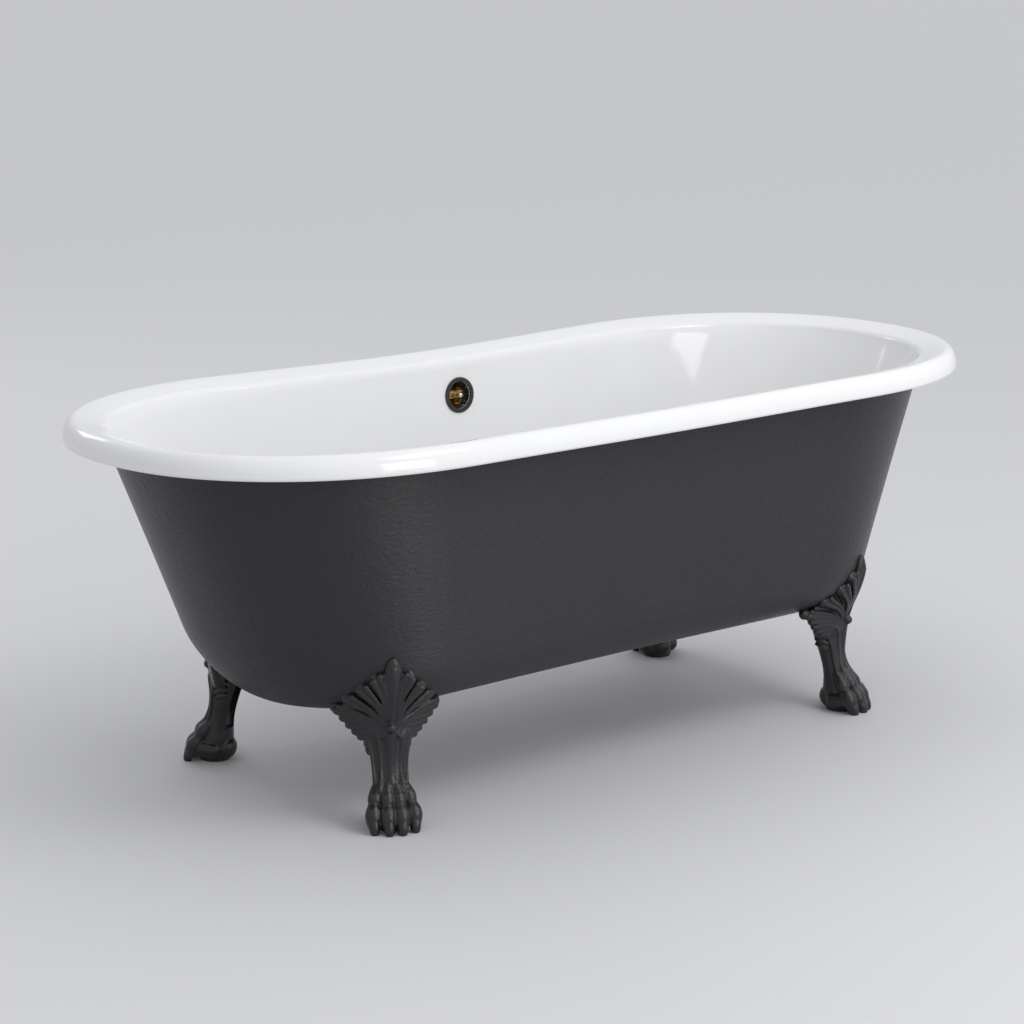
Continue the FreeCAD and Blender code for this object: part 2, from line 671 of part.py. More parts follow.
def overflow_elbow():
    """A cup on the outside of the wall, with a bridge for the screw and a socket pointing down."""
    bore = ELBOW_RADIUS - ELBOW_WALL
    cup = cylinder(ELBOW_RADIUS, ELBOW_DEPTH, Vec(0, 0, ELBOW_BACK))
    rim = cylinder(ELBOW_RIM_RADIUS, ELBOW_RIM_THICKNESS, Vec(0, 0, ELBOW_FACE - ELBOW_RIM_THICKNESS))
    outside = on_overflow(cup.fuse(rim)).fuse(down_socket(PIPE_RADIUS + PIPE_GAP + SOCKET_WALL))
    hollow = cylinder(bore, ELBOW_DEPTH, Vec(0, 0, ELBOW_BACK + ELBOW_WALL))
    bridge = box_about(2 * bore, BRIDGE_WIDTH, BRIDGE_THICKNESS, Vec(0, 0, BRIDGE_BACK))
    bridge = bridge.common(cylinder(bore, BRIDGE_THICKNESS, Vec(0, 0, BRIDGE_BACK)))
    bridge = bridge.cut(cylinder(SCREW_RADIUS + THREAD_GAP, BRIDGE_THICKNESS, Vec(0, 0, BRIDGE_BACK)))
    elbow = outside.cut(on_overflow(hollow)).cut(down_socket(PIPE_RADIUS + PIPE_GAP))
    return elbow.fuse(on_overflow(bridge))


def down_socket(radius):
    return cylinder(radius, SOCKET_LENGTH, PIPE_TOP, -UP)


# ---- overflow pipe: down behind the wall, round a bend and under the tub to the waste ----

WASTE = Vec(WASTE_X, WASTE_Y, 0)
BRANCH_HEIGHT = BASE_HEIGHT - BRANCH_DROP
SOCKET_END = PIPE_TOP.z - SOCKET_LENGTH
BRANCH_END = WASTE_Y + BODY_RADIUS + BRANCH_LENGTH


def pipe_rod(radius):
    top = SOCKET_END + PIPE_ENTRY
    bend_top = Vec(WASTE_X, PIPE_TOP.y, BRANCH_HEIGHT + PIPE_BEND)
    bend_end = Vec(WASTE_X, PIPE_TOP.y - PIPE_BEND, BRANCH_HEIGHT)
    fall = cylinder(radius, top - bend_top.z, bend_top)
    disc = Part.Face(Part.Wire([Part.Circle(bend_top, UP, radius).toShape()]))
    bend = disc.revolve(bend_top - Vec(0, PIPE_BEND, 0), Vec(-1, 0, 0), 90)
    run = cylinder(radius, bend_end.y - BRANCH_END + PIPE_ENTRY, bend_end, Vec(0, -1, 0))
    return fall.multiFuse([bend, run]).removeSplitter()


def overflow_pipe():
    return pipe_rod(PIPE_RADIUS).cut(pipe_rod(PIPE_RADIUS - PIPE_WALL))


def compression_seal():
    """A rubber ring round the pipe, pressed against the end of the socket."""
    outer = PIPE_RADIUS + PIPE_GAP + SOCKET_WALL
    return tube(outer, PIPE_RADIUS + PIPE_GAP, SEAL_THICKNESS)


def compression_nut():
    """A six-sided nut over the end of the socket and the seal."""
    bore = PIPE_RADIUS + PIPE_GAP + SOCKET_WALL + THREAD_GAP
    nut = hexagon(2 * (bore + NUT_WALL), NUT_LENGTH, ORIGIN)
    nut = nut.cut(cylinder(PIPE_RADIUS + BOLT_HOLE_GAP, NUT_LENGTH))
    return nut.cut(cylinder(bore, NUT_LENGTH - NUT_CAP))


def below_elbow(shape, start):
    """Turn a part of a joint upside down, and set its start against the elbow's socket."""
    copy = shape.copy()
    copy.rotate(ORIGIN, Vec(1, 0, 0), 180)
    copy.translate(Vec(WASTE_X, PIPE_TOP.y, SOCKET_END - start))
    return copy


def behind_branch(shape, start):
    """Lay a part of a joint down, and set its start against the branch of the waste."""
    copy = shape.copy()
    copy.rotate(ORIGIN, Vec(1, 0, 0), -90)
    copy.translate(Vec(WASTE_X, BRANCH_END + start, BRANCH_HEIGHT))
    return copy


NUT_START = SEAL_THICKNESS + NUT_CAP - NUT_LENGTH

# ---- waste and stopper: shaped about the middle of the waste, at their own heights ----

FLOOR_TOP = BASE_HEIGHT + CAST_WALL + GLAZE_GAP + ENAMEL
FLANGE_SEAT = FLOOR_TOP + SEAT_GAP + GASKET_THICKNESS
FLANGE_TOP = FLANGE_SEAT + FLANGE_THICKNESS
RECESS_FLOOR = FLANGE_TOP - FLANGE_RECESS
BODY_TOP = BASE_HEIGHT - SEAT_GAP - LOWER_GASKET_THICKNESS
BODY_BOTTOM = BODY_TOP - BODY_DEPTH


def waste_flange():
    """The flange seen in the floor of the tub, its threaded tail, and a hub on spokes."""
    recess = CAP_RADIUS + 1.0
    top = cylinder(FLANGE_RADIUS, FLANGE_THICKNESS, Vec(0, 0, FLANGE_SEAT))
    edge = [e for e in top.Edges if abs(e.BoundBox.ZMin - FLANGE_TOP) < 0.01 and e.BoundBox.XLength > 1]
    top = top.makeFillet(FLANGE_THICKNESS / 3, edge)
    tail = cylinder(TAIL_RADIUS, TAIL_LENGTH, Vec(0, 0, FLANGE_SEAT - TAIL_LENGTH))
    body = top.fuse(tail)
    body = body.cut(cylinder(recess, FLANGE_RECESS, Vec(0, 0, RECESS_FLOOR)))
    body = body.cut(cylinder(TAIL_BORE, TAIL_LENGTH + FLANGE_THICKNESS, Vec(0, 0, FLANGE_SEAT - TAIL_LENGTH)))
    hub_low = RECESS_FLOOR - HUB_DROP - HUB_HEIGHT
    hub = [cylinder(HUB_RADIUS, HUB_HEIGHT, Vec(0, 0, hub_low))]
    for i in range(SPOKES):
        spoke = Part.makeBox(TAIL_BORE + 1.0, SPOKE_WIDTH, HUB_HEIGHT / 2, Vec(0, -SPOKE_WIDTH / 2, hub_low))
        spoke.rotate(ORIGIN, UP, 360.0 * i / SPOKES)
        hub.append(spoke)
    body = body.multiFuse(hub)
    body = body.cut(cylinder(CARTRIDGE_RADIUS + THREAD_GAP, HUB_HEIGHT, Vec(0, 0, hub_low)))
    return moved(body, WASTE)


def waste_upper_gasket():
    base = Vec(0, 0, FLOOR_TOP + SEAT_GAP)
    return moved(tube(FLANGE_RADIUS - 2, TAIL_RADIUS + BOLT_HOLE_GAP, GASKET_THICKNESS, base), WASTE)


def waste_lower_gasket():
    base = Vec(0, 0, BODY_TOP)
    return moved(tube(BODY_RIM_RADIUS, TAIL_RADIUS + BOLT_HOLE_GAP, LOWER_GASKET_THICKNESS, base), WASTE)


def waste_body():
    """The tee under the tub: threaded round the flange's tail, open to the overflow and the outlet."""
    shell = cylinder(BODY_RADIUS, BODY_DEPTH, Vec(0, 0, BODY_BOTTOM))
    rim = cylinder(BODY_RIM_RADIUS, BODY_RIM_THICKNESS, Vec(0, 0, BODY_TOP - BODY_RIM_THICKNESS))
    outlet = cylinder(OUTLET_RADIUS, OUTLET_LENGTH, Vec(0, 0, BODY_BOTTOM - OUTLET_LENGTH))
    branch_start = Vec(0, 0, BRANCH_HEIGHT)
    reach = BODY_RADIUS + BRANCH_LENGTH
    socket = cylinder(PIPE_RADIUS + PIPE_GAP + SOCKET_WALL, reach, branch_start, Vec(0, 1, 0))
    body = shell.multiFuse([rim, outlet, socket])
    tail_room = cylinder(TAIL_RADIUS + THREAD_GAP, TAIL_LENGTH, Vec(0, 0, FLANGE_SEAT - TAIL_LENGTH))
    bore = cylinder(OUTLET_BORE, BODY_DEPTH + OUTLET_LENGTH, Vec(0, 0, BODY_BOTTOM - OUTLET_LENGTH))
    pipe_room = cylinder(PIPE_RADIUS + PIPE_GAP, reach, branch_start, Vec(0, 1, 0))
    body = body.cut([tail_room, bore, pipe_room])
    return moved(body, WASTE)


def stopper_cartridge():
    low = RECESS_FLOOR - HUB_DROP - CARTRIDGE_LENGTH
    barrel = cylinder(CARTRIDGE_RADIUS, CARTRIDGE_LENGTH, Vec(0, 0, low))
    bore = cylinder(STEM_RADIUS + RUNNING_GAP, CARTRIDGE_LENGTH - CAP_RIM, Vec(0, 0, low + CAP_RIM))
    return moved(barrel.cut(bore), WASTE)


CAP_SEAT = RECESS_FLOOR + STOPPER_GAP + SEAL_HEIGHT


def stopper_stem():
    low = RECESS_FLOOR - HUB_DROP - CARTRIDGE_LENGTH + CAP_RIM + STOPPER_GAP
    return moved(cylinder(STEM_RADIUS, CAP_SEAT - low, Vec(0, 0, low)), WASTE)


def stopper_cap():
    """A low domed cap, standing on the top of the stem."""
    crown = CAP_SEAT + CAP_RIM + CAP_CROWN
    radius = (CAP_RADIUS ** 2 + CAP_CROWN ** 2) / (2 * CAP_CROWN)
    dome = Part.makeSphere(radius, Vec(0, 0, crown - radius))
    cap = cylinder(CAP_RADIUS, CAP_RIM + CAP_CROWN, Vec(0, 0, CAP_SEAT)).common(dome)
    return moved(cap, WASTE)


def stopper_seal():
    base = Vec(0, 0, CAP_SEAT - SEAL_HEIGHT)
    outer = CAP_RADIUS - STOPPER_GAP
    return moved(tube(outer, outer - SEAL_WIDTH, SEAL_HEIGHT, base), WASTE)


# ---- the tub itself, with its holes and lugs ----

def waste_hole():
    return cylinder(WASTE_HOLE_RADIUS, BASE_HEIGHT, WASTE + UP * (BASE_HEIGHT / 2))


def overflow_hole():
    hole = cylinder(OVERFLOW_HOLE_RADIUS, 4 * WALL_DEPTH, Vec(0, 0, -2 * WALL_DEPTH - SEAT_GAP))
    return on_overflow(hole)


def tub_casting():
    cover = ENAMEL + GLAZE_GAP
    iron = tub_layer(cover, LIP_WRAP + LIP_METAL, cover + CAST_WALL, 0.0)
    iron = iron.multiFuse(list(at_corners(lug).values()))
    return iron.cut([waste_hole(), overflow_hole()])


def enamel_lining():
    return tub_layer(0.0, LIP_WRAP, ENAMEL, LIP_WRAP).cut([waste_hole(), overflow_hole()])


def save(name, shape):
    solids = shape.Solids
    print(name, "valid" if shape.isValid() else "NOT VALID", len(solids), round(shape.Volume))
    if len(solids) == 1:
        shape = solids[0]
    shape.exportStep("parts/" + name + ".step")


os.makedirs("parts", exist_ok=True)
save("tub_casting", tub_casting())
save("enamel_lining", enamel_lining())

for part_name, make in (("claw_foot", claw_foot), ("foot_bolt", foot_bolt), ("foot_washer", foot_washer)):
    for corner, shape in at_corners(make).items():
        save(part_name + "_" + corner, shape)

save("overflow_faceplate", overflow_faceplate())
save("overflow_screw", overflow_screw())
save("overflow_front_gasket", overflow_front_gasket())
save("overflow_rear_gasket", overflow_rear_gasket())
save("overflow_elbow", overflow_elbow())
save("overflow_pipe", overflow_pipe())
save("overflow_upper_seal", below_elbow(compression_seal(), 0.0))
save("overflow_upper_nut", below_elbow(compression_nut(), NUT_START))
save("overflow_lower_seal", behind_branch(compression_seal(), 0.0))
save("overflow_lower_nut", behind_branch(compression_nut(), NUT_START))

save("waste_flange", waste_flange())
save("waste_upper_gasket", waste_upper_gasket())
save("waste_lower_gasket", waste_lower_gasket())
save("waste_body", waste_body())
save("stopper_cartridge", stopper_cartridge())
save("stopper_stem", stopper_stem())
save("stopper_cap", stopper_cap())
save("stopper_seal", stopper_seal())
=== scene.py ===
import math

import bmesh
import bpy
from mathutils import Matrix, Vector


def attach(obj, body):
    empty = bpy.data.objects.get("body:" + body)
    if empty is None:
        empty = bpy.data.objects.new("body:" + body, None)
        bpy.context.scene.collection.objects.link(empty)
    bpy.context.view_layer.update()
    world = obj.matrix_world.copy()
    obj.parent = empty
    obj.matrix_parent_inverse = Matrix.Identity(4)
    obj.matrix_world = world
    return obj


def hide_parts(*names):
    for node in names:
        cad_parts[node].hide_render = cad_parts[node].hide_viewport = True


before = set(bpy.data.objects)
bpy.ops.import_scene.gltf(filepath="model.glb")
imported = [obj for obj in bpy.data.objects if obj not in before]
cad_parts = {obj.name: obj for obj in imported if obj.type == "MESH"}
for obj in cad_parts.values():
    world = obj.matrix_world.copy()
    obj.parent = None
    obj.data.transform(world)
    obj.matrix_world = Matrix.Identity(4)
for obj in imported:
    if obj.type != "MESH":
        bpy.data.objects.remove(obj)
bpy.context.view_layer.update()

# ---- The room -------------------------------------------------------------------------------
# A pale seamless studio floor that runs on to where the camera can't see its end.
# The camera stands where the photograph was taken from, at the front left and a little above.

MM = 0.001
X_AXIS = Vector((1, 0, 0))
UP = Vector((0, 0, 1))
CAMERA_PLACE = (-3.2724, -3.7749, 1.5091)
CAMERA_TARGET = (-0.0545, 0.0, 0.3904)
CAMERA_LENS = 108.02
FLOOR_RADIUS = 60.0
FLOOR_GREY = "D8D8DA"
AIR_GREY = "C3C3C6"
AIR_LIGHT = 0.60           # strength of the air's light from all round
AIR_LEAN = 0.42            # how much stronger it is from the front right and above
AIR_SIDE = (0.35, -0.35, 0.87)


def linear(hex_code):
    """An sRGB hex colour turned to the linear colour that Blender works in."""
    parts = [int(hex_code[i:i + 2], 16) / 255 for i in (0, 2, 4)]
    return [p / 12.92 if p <= 0.04045 else ((p + 0.055) / 1.055) ** 2.4 for p in parts] + [1.0]


def add(tree, kind, inputs=(), **settings):
    """Adds a node with its settings; each input takes a value, or another node's output."""
    made = tree.nodes.new(kind)
    for name, value in settings.items():
        setattr(made, name, value)
    for name, value in dict(inputs).items():
        if isinstance(value, bpy.types.NodeSocket):
            tree.links.new(value, made.inputs[name])
        else:
            made.inputs[name].default_value = value
    return made


def new_material(name):
    """An empty material and its node tree."""
    material = bpy.data.materials.new(name)
    material.use_nodes = True
    material.node_tree.nodes.clear()
    return material, material.node_tree


def aimed(place, target):
    """Where a camera or a lamp stands and which way it looks."""
    place, target = Vector(place), Vector(target)
    turn = (target - place).to_track_quat("-Z", "Y").to_matrix().to_4x4()
    return Matrix.Translation(place) @ turn


def place_camera():
    camera = bpy.data.objects.new("camera", bpy.data.cameras.new("camera"))
    camera.data.lens = CAMERA_LENS
    camera.data.sensor_width = 36.0
    camera.data.clip_end = 200.0
    camera.matrix_world = aimed(CAMERA_PLACE, CAMERA_TARGET)
    bpy.context.scene.collection.objects.link(camera)
    bpy.context.scene.camera = camera


def lamp(name, place, target, width, height, power):
    """A rectangular soft box."""
    data = bpy.data.lights.new(name, "AREA")
    data.shape = "RECTANGLE"
    data.size, data.size_y, data.energy = width, height, power
    box = bpy.data.objects.new(name, data)
    box.matrix_world = aimed(place, target)
    bpy.context.scene.collection.objects.link(box)
    return box


def studio_paper():
    """Matt paper, faintly mottled, so that it is one even pale grey."""
    material, tree = new_material("studio_paper")
    mottle = add(tree, "ShaderNodeTexNoise", {"Scale": 0.6, "Detail": 2.0})
    tone = add(tree, "ShaderNodeValToRGB", {"Fac": mottle.outputs["Fac"]})
    tone.color_ramp.elements[0].color = linear("D5D5D7")
    tone.color_ramp.elements[1].color = linear(FLOOR_GREY)
    paper = add(tree, "ShaderNodeBsdfPrincipled", {"Base Color": tone.outputs[0], "Roughness": 0.7, "IOR": 1.35})
    add(tree, "ShaderNodeOutputMaterial", {"Surface": paper.outputs[0]})
    return material


def studio():
    bm = bmesh.new()
    bmesh.ops.create_circle(bm, cap_ends=True, segments=96, radius=FLOOR_RADIUS)
    mesh = bpy.data.meshes.new("floor")
    bm.to_mesh(mesh)
    bm.free()
    mesh.materials.append(studio_paper())
    floor = bpy.data.objects.new("floor", mesh)
    bpy.context.scene.collection.objects.link(floor)
    world = bpy.data.worlds.new("studio_air")
    world.use_nodes = True
    bpy.context.scene.world = world
    tree = world.node_tree
    tree.nodes.clear()
    way = add(tree, "ShaderNodeTexCoord")
    facing = add(tree, "ShaderNodeVectorMath", {0: way.outputs["Generated"], 1: AIR_SIDE}, operation="DOT_PRODUCT")
    level = add(tree, "ShaderNodeMath", {0: facing.outputs["Value"], 1: AIR_LEAN, 2: AIR_LIGHT}, operation="MULTIPLY_ADD")
    light = add(tree, "ShaderNodeBackground", {"Color": linear("FBFCFF"), "Strength": level.outputs[0]})
    seen = add(tree, "ShaderNodeBackground", {"Color": linear(AIR_GREY), "Strength": 1.0})
    path = add(tree, "ShaderNodeLightPath")
    mix = add(tree, "ShaderNodeMixShader", {0: path.outputs["Is Camera Ray"], 1: light.outputs[0], 2: seen.outputs[0]})
    add(tree, "ShaderNodeOutputWorld", {"Surface": mix.outputs[0]})
    lamp("front_box", (0.45, -3.9, 1.25), (0.4, 0, 0.45), 1.5, 1.9, 30.0)
    lamp("right_box", (0.9, -2.3, 3.0), (-0.3, -0.9, 0.0), 1.6, 1.2, 22.0)
    lamp("back_box", (-0.5, 4.2, 2.7), (-0.3, 0, 0.4), 1.5, 1.1, 14.0)
    bpy.context.scene.view_settings.view_transform = "Standard"


place_camera()
studio()

# ---- The tub casting and its enamel lining --------------------------------------------------
# One grey-iron casting, 7 mm thick, with a rolled rim; it is painted charcoal outside.
# White vitreous enamel, 1.5 mm thick, is fired on over the inside and round the roll to its lip.

LENGTH = 1700.0
RIM_HALF_WIDTH = 372.0
RIM_END = 440.0
RIM_HEIGHT = 614.0
RIM_DIP = 6.4
DIP_LENGTH = 360.0
WAIST = 20.6
WAIST_LENGTH = 452.0
END_POWER_X = 2.2
END_POWER_Y = 2.17
ROLL_REACH = 18.5
ROLL_DROP = 30.0
ROLL_UNDER = 10.0
ROLL_TILT = 14.0
ENAMEL_WRAP = 28.0
IRON_WRAP = 62.0
INNER_ROLL_START = 56.0
INNER_ROLL_RADIUS = 13.0
INNER_ROLL_END = 72.0
CAST_WALL = 7.0
ENAMEL = 1.5
GLAZE_GAP = 0.05
OVERHANG = 61.5
WALL_TOP_DROP = 30.0
BASE_HEIGHT = 164.0
BASE_SETBACK_X = 252.5
BASE_SETBACK_Y = 91.0
BASE_END = 206.6
BASE_ROUND_X = 40.0
BASE_ROUND_Y = 162.0
BASE_ROUND_Z = 93.0
DIP_FADE = 170.0
SIDE_STEPS = 30            # points along a quarter of the outline: straight side, rounded end
END_STEPS = 56
ROLL_STEPS = 18
WALL_STEPS = 16
ROUND_STEPS = 14


def cos_sin(degrees):
    return math.cos(math.radians(degrees)), math.sin(math.radians(degrees))


def section(a, b, end, waist):
    """The four sizes of an outline: half length, half width, length of its ends, waist."""
    return {"a": a, "b": b, "end": end, "waist": waist}


def waisted(side, x, sizes):
    return side * (1.0 - sizes["waist"] / sizes["b"] * math.exp(-(x / WAIST_LENGTH) ** 2))


def half_width(x, sizes):
    """Half the width of an outline at x."""
    reach = max(0.0, (abs(x) - (sizes["a"] - sizes["end"])) / sizes["end"])
    if reach >= 1.0:
        return 0.0
    side = sizes["b"] * (1.0 - reach ** END_POWER_X) ** (1.0 / END_POWER_Y)
    return waisted(side, x, sizes)


def ring(sizes, z, dip_share=0.0):
    """Places all round an outline, in the order that a circle's points have."""
    straight = sizes["a"] - sizes["end"]
    quarter = []
    for i in range(SIDE_STEPS):
        x = straight * i / SIDE_STEPS
        quarter.append((x, waisted(sizes["b"], x, sizes)))
    for i in range(END_STEPS + 1):
        cos, sin = cos_sin(90.0 * i / END_STEPS)
        x = straight + sizes["end"] * sin ** (2.0 / END_POWER_X)
        side = sizes["b"] * max(0.0, cos) ** (2.0 / END_POWER_Y)
        quarter.append((x, waisted(side, x, sizes)))
    quarter[-1] = (quarter[-1][0], 0.0)
    first = quarter[:0:-1]
    flat = first + [(-x, y) for x, y in quarter[:-1]] + [(-x, -y) for x, y in first]
    flat += [(x, -y) for x, y in quarter[:-1]]
    dip = RIM_DIP * dip_share
    return [Vector((x, y, z - dip * math.exp(-(x / DIP_LENGTH) ** 2))) for x, y in flat]


def rim_section(inward):
    return section(LENGTH / 2 - inward, RIM_HALF_WIDTH - inward, RIM_END - inward, WAIST)


def body_section(z, inset):
    """Outline of the outside of the tub at a height, or of a surface that lies deeper by inset."""
    round_z = BASE_ROUND_Z - inset
    fall = (BASE_HEIGHT + inset + round_z - z) / round_z
    tuck = 1.0 - math.sqrt(1.0 - max(0.0, min(1.0, fall)) ** 2)
    rise = (z - BASE_HEIGHT) / (RIM_HEIGHT - WALL_TOP_DROP - BASE_HEIGHT)
    a = LENGTH / 2 - BASE_SETBACK_X + (BASE_SETBACK_X - OVERHANG) * rise
    b = RIM_HALF_WIDTH - BASE_SETBACK_Y + (BASE_SETBACK_Y - OVERHANG) * rise
    end = BASE_END + (RIM_END - OVERHANG - BASE_END) * rise
    a -= inset + tuck * (BASE_ROUND_X - inset)
    b -= inset + tuck * (BASE_ROUND_Y - inset)
    end -= inset + tuck * (BASE_ROUND_X - inset)
    return section(a, b, end, WAIST * b / RIM_HALF_WIDTH)


def body_ring(z, inset):
    depth = (RIM_HEIGHT - z) / DIP_FADE
    return ring(body_section(z, inset), z, max(0.0, 1.0 - depth) ** 2)


def roll_ring(angle, cover):
    """Ring on the outer roll; 0 degrees is its outermost line and 90 its top."""
    cos, sin = cos_sin(angle)
    height = ROLL_DROP if angle > 0 else ROLL_UNDER
    inward = ROLL_REACH - (ROLL_REACH - cover) * cos
    return ring(rim_section(inward), RIM_HEIGHT - ROLL_DROP + (height - cover) * sin, 1.0)


def roll_end():
    """Angle on the outer roll where its top has turned down to the tilt."""
    cos, sin = cos_sin(ROLL_TILT)
    return 90.0 + math.degrees(math.atan(sin / cos * ROLL_REACH / ROLL_DROP))


def inner_roll_ring(slope, cover):
    """Ring on the roll where the top of the rim turns down into the wall."""
    cos, sin = cos_sin(roll_end())
    end_in = ROLL_REACH * (1.0 - cos)
    end_drop = ROLL_DROP * (1.0 - sin)
    cos, sin = cos_sin(ROLL_TILT)
    drop = end_drop + (INNER_ROLL_START - end_in) * sin / cos
    centre_in = INNER_ROLL_START - INNER_ROLL_RADIUS * sin
    centre_drop = drop + INNER_ROLL_RADIUS * cos
    cos, sin = cos_sin(slope)
    radius = INNER_ROLL_RADIUS - cover
    return ring(rim_section(centre_in + radius * sin), RIM_HEIGHT - centre_drop + radius * cos, 1.0)


def steps(first, last, count):
    return [first + (last - first) * i / (count - 1) for i in range(count)]


def between(before, start, end, after, count):
    """Rings that run smoothly from one ring to the next, given the rings on either side."""
    made = []
    for i in range(1, count):
        t = i / count
        places = []
        for p, a, b, q in zip(before, start, end, after):
            span = (b - a).length
            leave, arrive = (a - p).normalized() * span, (q - b).normalized() * span
            places.append(a * (2 * t ** 3 - 3 * t ** 2 + 1) + leave * (t ** 3 - 2 * t ** 2 + t)
                          + b * (3 * t ** 2 - 2 * t ** 3) + arrive * (t ** 3 - t ** 2))
        made.append(places)
    return made


def surface_rings(cover, wrap):
    """The rings of one surface of the tub, from its lip over the rim and down to its floor."""
    inset = CAST_WALL + GLAZE_GAP + ENAMEL - cover
    rings = [roll_ring(angle, cover) for angle in steps(-wrap, roll_end(), ROLL_STEPS)]
    inner = [inner_roll_ring(angle, cover) for angle in steps(ROLL_TILT, INNER_ROLL_END, ROLL_STEPS)]
    wall_foot = BASE_HEIGHT + BASE_ROUND_Z
    wall = [body_ring(z, inset) for z in steps(RIM_HEIGHT - 2 * ROLL_REACH - cover, wall_foot, WALL_STEPS)]
    rings += between(rings[-2], rings[-1], inner[0], inner[1], 4) + inner
    rings += between(inner[-2], inner[-1], wall[0], wall[1], 5) + wall
    for angle in steps(0.0, 90.0, ROUND_STEPS)[1:]:
        rings.append(body_ring(wall_foot - (BASE_ROUND_Z - inset) * cos_sin(angle)[1], inset))
    return rings


def extruded(rings):
    """A closed skin: a circle set on the first ring, extruded from ring to ring, then closed."""
    bm = bmesh.new()
    order = bm.verts.layers.int.new("order")
    bmesh.ops.create_circle(bm, cap_ends=True, segments=len(rings[0]), radius=1.0)
    for i, vert in enumerate(bm.verts):
        vert[order] = i
        vert.co = rings[0][i] * MM
    edges = bm.edges[:]
    for places in rings[1:]:
        made = bmesh.ops.extrude_edge_only(bm, edges=edges)["geom"]
        verts = {item for item in made if isinstance(item, bmesh.types.BMVert)}
        edges = [item for item in made if isinstance(item, bmesh.types.BMEdge) and verts.issuperset(item.verts)]
        for vert in verts:
            vert.co = places[vert[order]] * MM
    bmesh.ops.edgeloop_fill(bm, edges=edges)
    bm.verts.layers.int.remove(order)
    bmesh.ops.recalc_face_normals(bm, faces=bm.faces)
    return bm


def finished(bm, name, sharp=40.0):
    """An object from a bmesh, shaded smooth up to an angle in degrees."""
    mesh = bpy.data.meshes.new(name)
    bm.to_mesh(mesh)
    bm.free()
    mesh.shade_smooth()
    mesh.set_sharp_from_angle(angle=math.radians(sharp))
    piece = bpy.data.objects.new(name, mesh)
    bpy.context.scene.collection.objects.link(piece)
    return piece


def applied(piece):
    """Makes a piece's modifiers part of its mesh."""
    seen = piece.evaluated_get(bpy.context.evaluated_depsgraph_get())
    mesh = bpy.data.meshes.new_from_object(seen)
    piece.modifiers.clear()
    piece.data = mesh


def combine(piece, tool, operation="DIFFERENCE"):
    """Cuts a tool out of a piece, or joins it on, and throws the tool away."""
    change = piece.modifiers.new("change", "BOOLEAN")
    change.solver = "EXACT"
    change.operation = operation
    change.object = tool
    bpy.context.view_layer.update()
    applied(piece)
    bpy.data.objects.remove(tool)


def bar_tool(radius, start, finish, segments=96):
    """A round bar between two places, in millimetres."""
    way = finish - start
    bm = bmesh.new()
    bmesh.ops.create_cone(bm, cap_ends=True, segments=segments, radius1=radius * MM, radius2=radius * MM,
                          depth=way.length * MM)
    turn = way.to_track_quat("Z", "Y").to_matrix().to_4x4()
    bm.transform(Matrix.Translation((start + finish) / 2 * MM) @ turn)
    return finished(bm, "bar_tool")


def inner_wall(x, z):
    return half_width(x, body_section(z, CAST_WALL + GLAZE_GAP + ENAMEL))


WASTE = Vector((65.0, 55.0, 0.0))
WASTE_HOLE_RADIUS = 25.0
OVERFLOW_HEIGHT = 533.0
OVERFLOW_HOLE_RADIUS = 24.0
OVERFLOW = Vector((WASTE.x, inner_wall(WASTE.x, OVERFLOW_HEIGHT), OVERFLOW_HEIGHT))
LEAN = inner_wall(WASTE.x, OVERFLOW_HEIGHT + 5) - inner_wall(WASTE.x, OVERFLOW_HEIGHT - 5)
OVERFLOW_AXIS = Vector((0, -10, LEAN)).normalized()


def drilled(piece):
    """Cuts the waste hole and the overflow hole."""
    combine(piece, bar_tool(WASTE_HOLE_RADIUS, WASTE + UP * 120, WASTE + UP * 220))
    combine(piece, bar_tool(OVERFLOW_HOLE_RADIUS, OVERFLOW - OVERFLOW_AXIS * 30, OVERFLOW + OVERFLOW_AXIS * 30))
    piece.data.shade_smooth()
    piece.data.set_sharp_from_angle(angle=math.radians(40))


def vitreous_enamel():
    """Glass fired on to iron: white, very smooth, faintly wavy over some centimetres."""
    material, tree = new_material("vitreous_enamel")
    where = add(tree, "ShaderNodeTexCoord")
    wave = add(tree, "ShaderNodeTexNoise", {"Vector": where.outputs["Object"], "Scale": 9.0, "Detail": 1.0})
    peel = add(tree, "ShaderNodeTexNoise", {"Vector": where.outputs["Object"], "Scale": 160.0, "Detail": 1.0})
    low = add(tree, "ShaderNodeBump", {"Height": wave.outputs["Fac"], "Strength": 0.12, "Distance": 0.004})
    fine = add(tree, "ShaderNodeBump", {"Height": peel.outputs["Fac"], "Strength": 0.03, "Distance": 0.0006,
                                        "Normal": low.outputs[0]})
    tone = add(tree, "ShaderNodeValToRGB", {"Fac": wave.outputs["Fac"]})
    tone.color_ramp.elements[0].color = linear("E9E9E9")
    tone.color_ramp.elements[1].color = linear("EDEDED")
    glass = add(tree, "ShaderNodeBsdfPrincipled", {
        "Base Color": tone.outputs[0], "Roughness": 0.09, "IOR": 1.52, "Normal": fine.outputs[0]})
    add(tree, "ShaderNodeOutputMaterial", {"Surface": glass.outputs[0]})
    return material


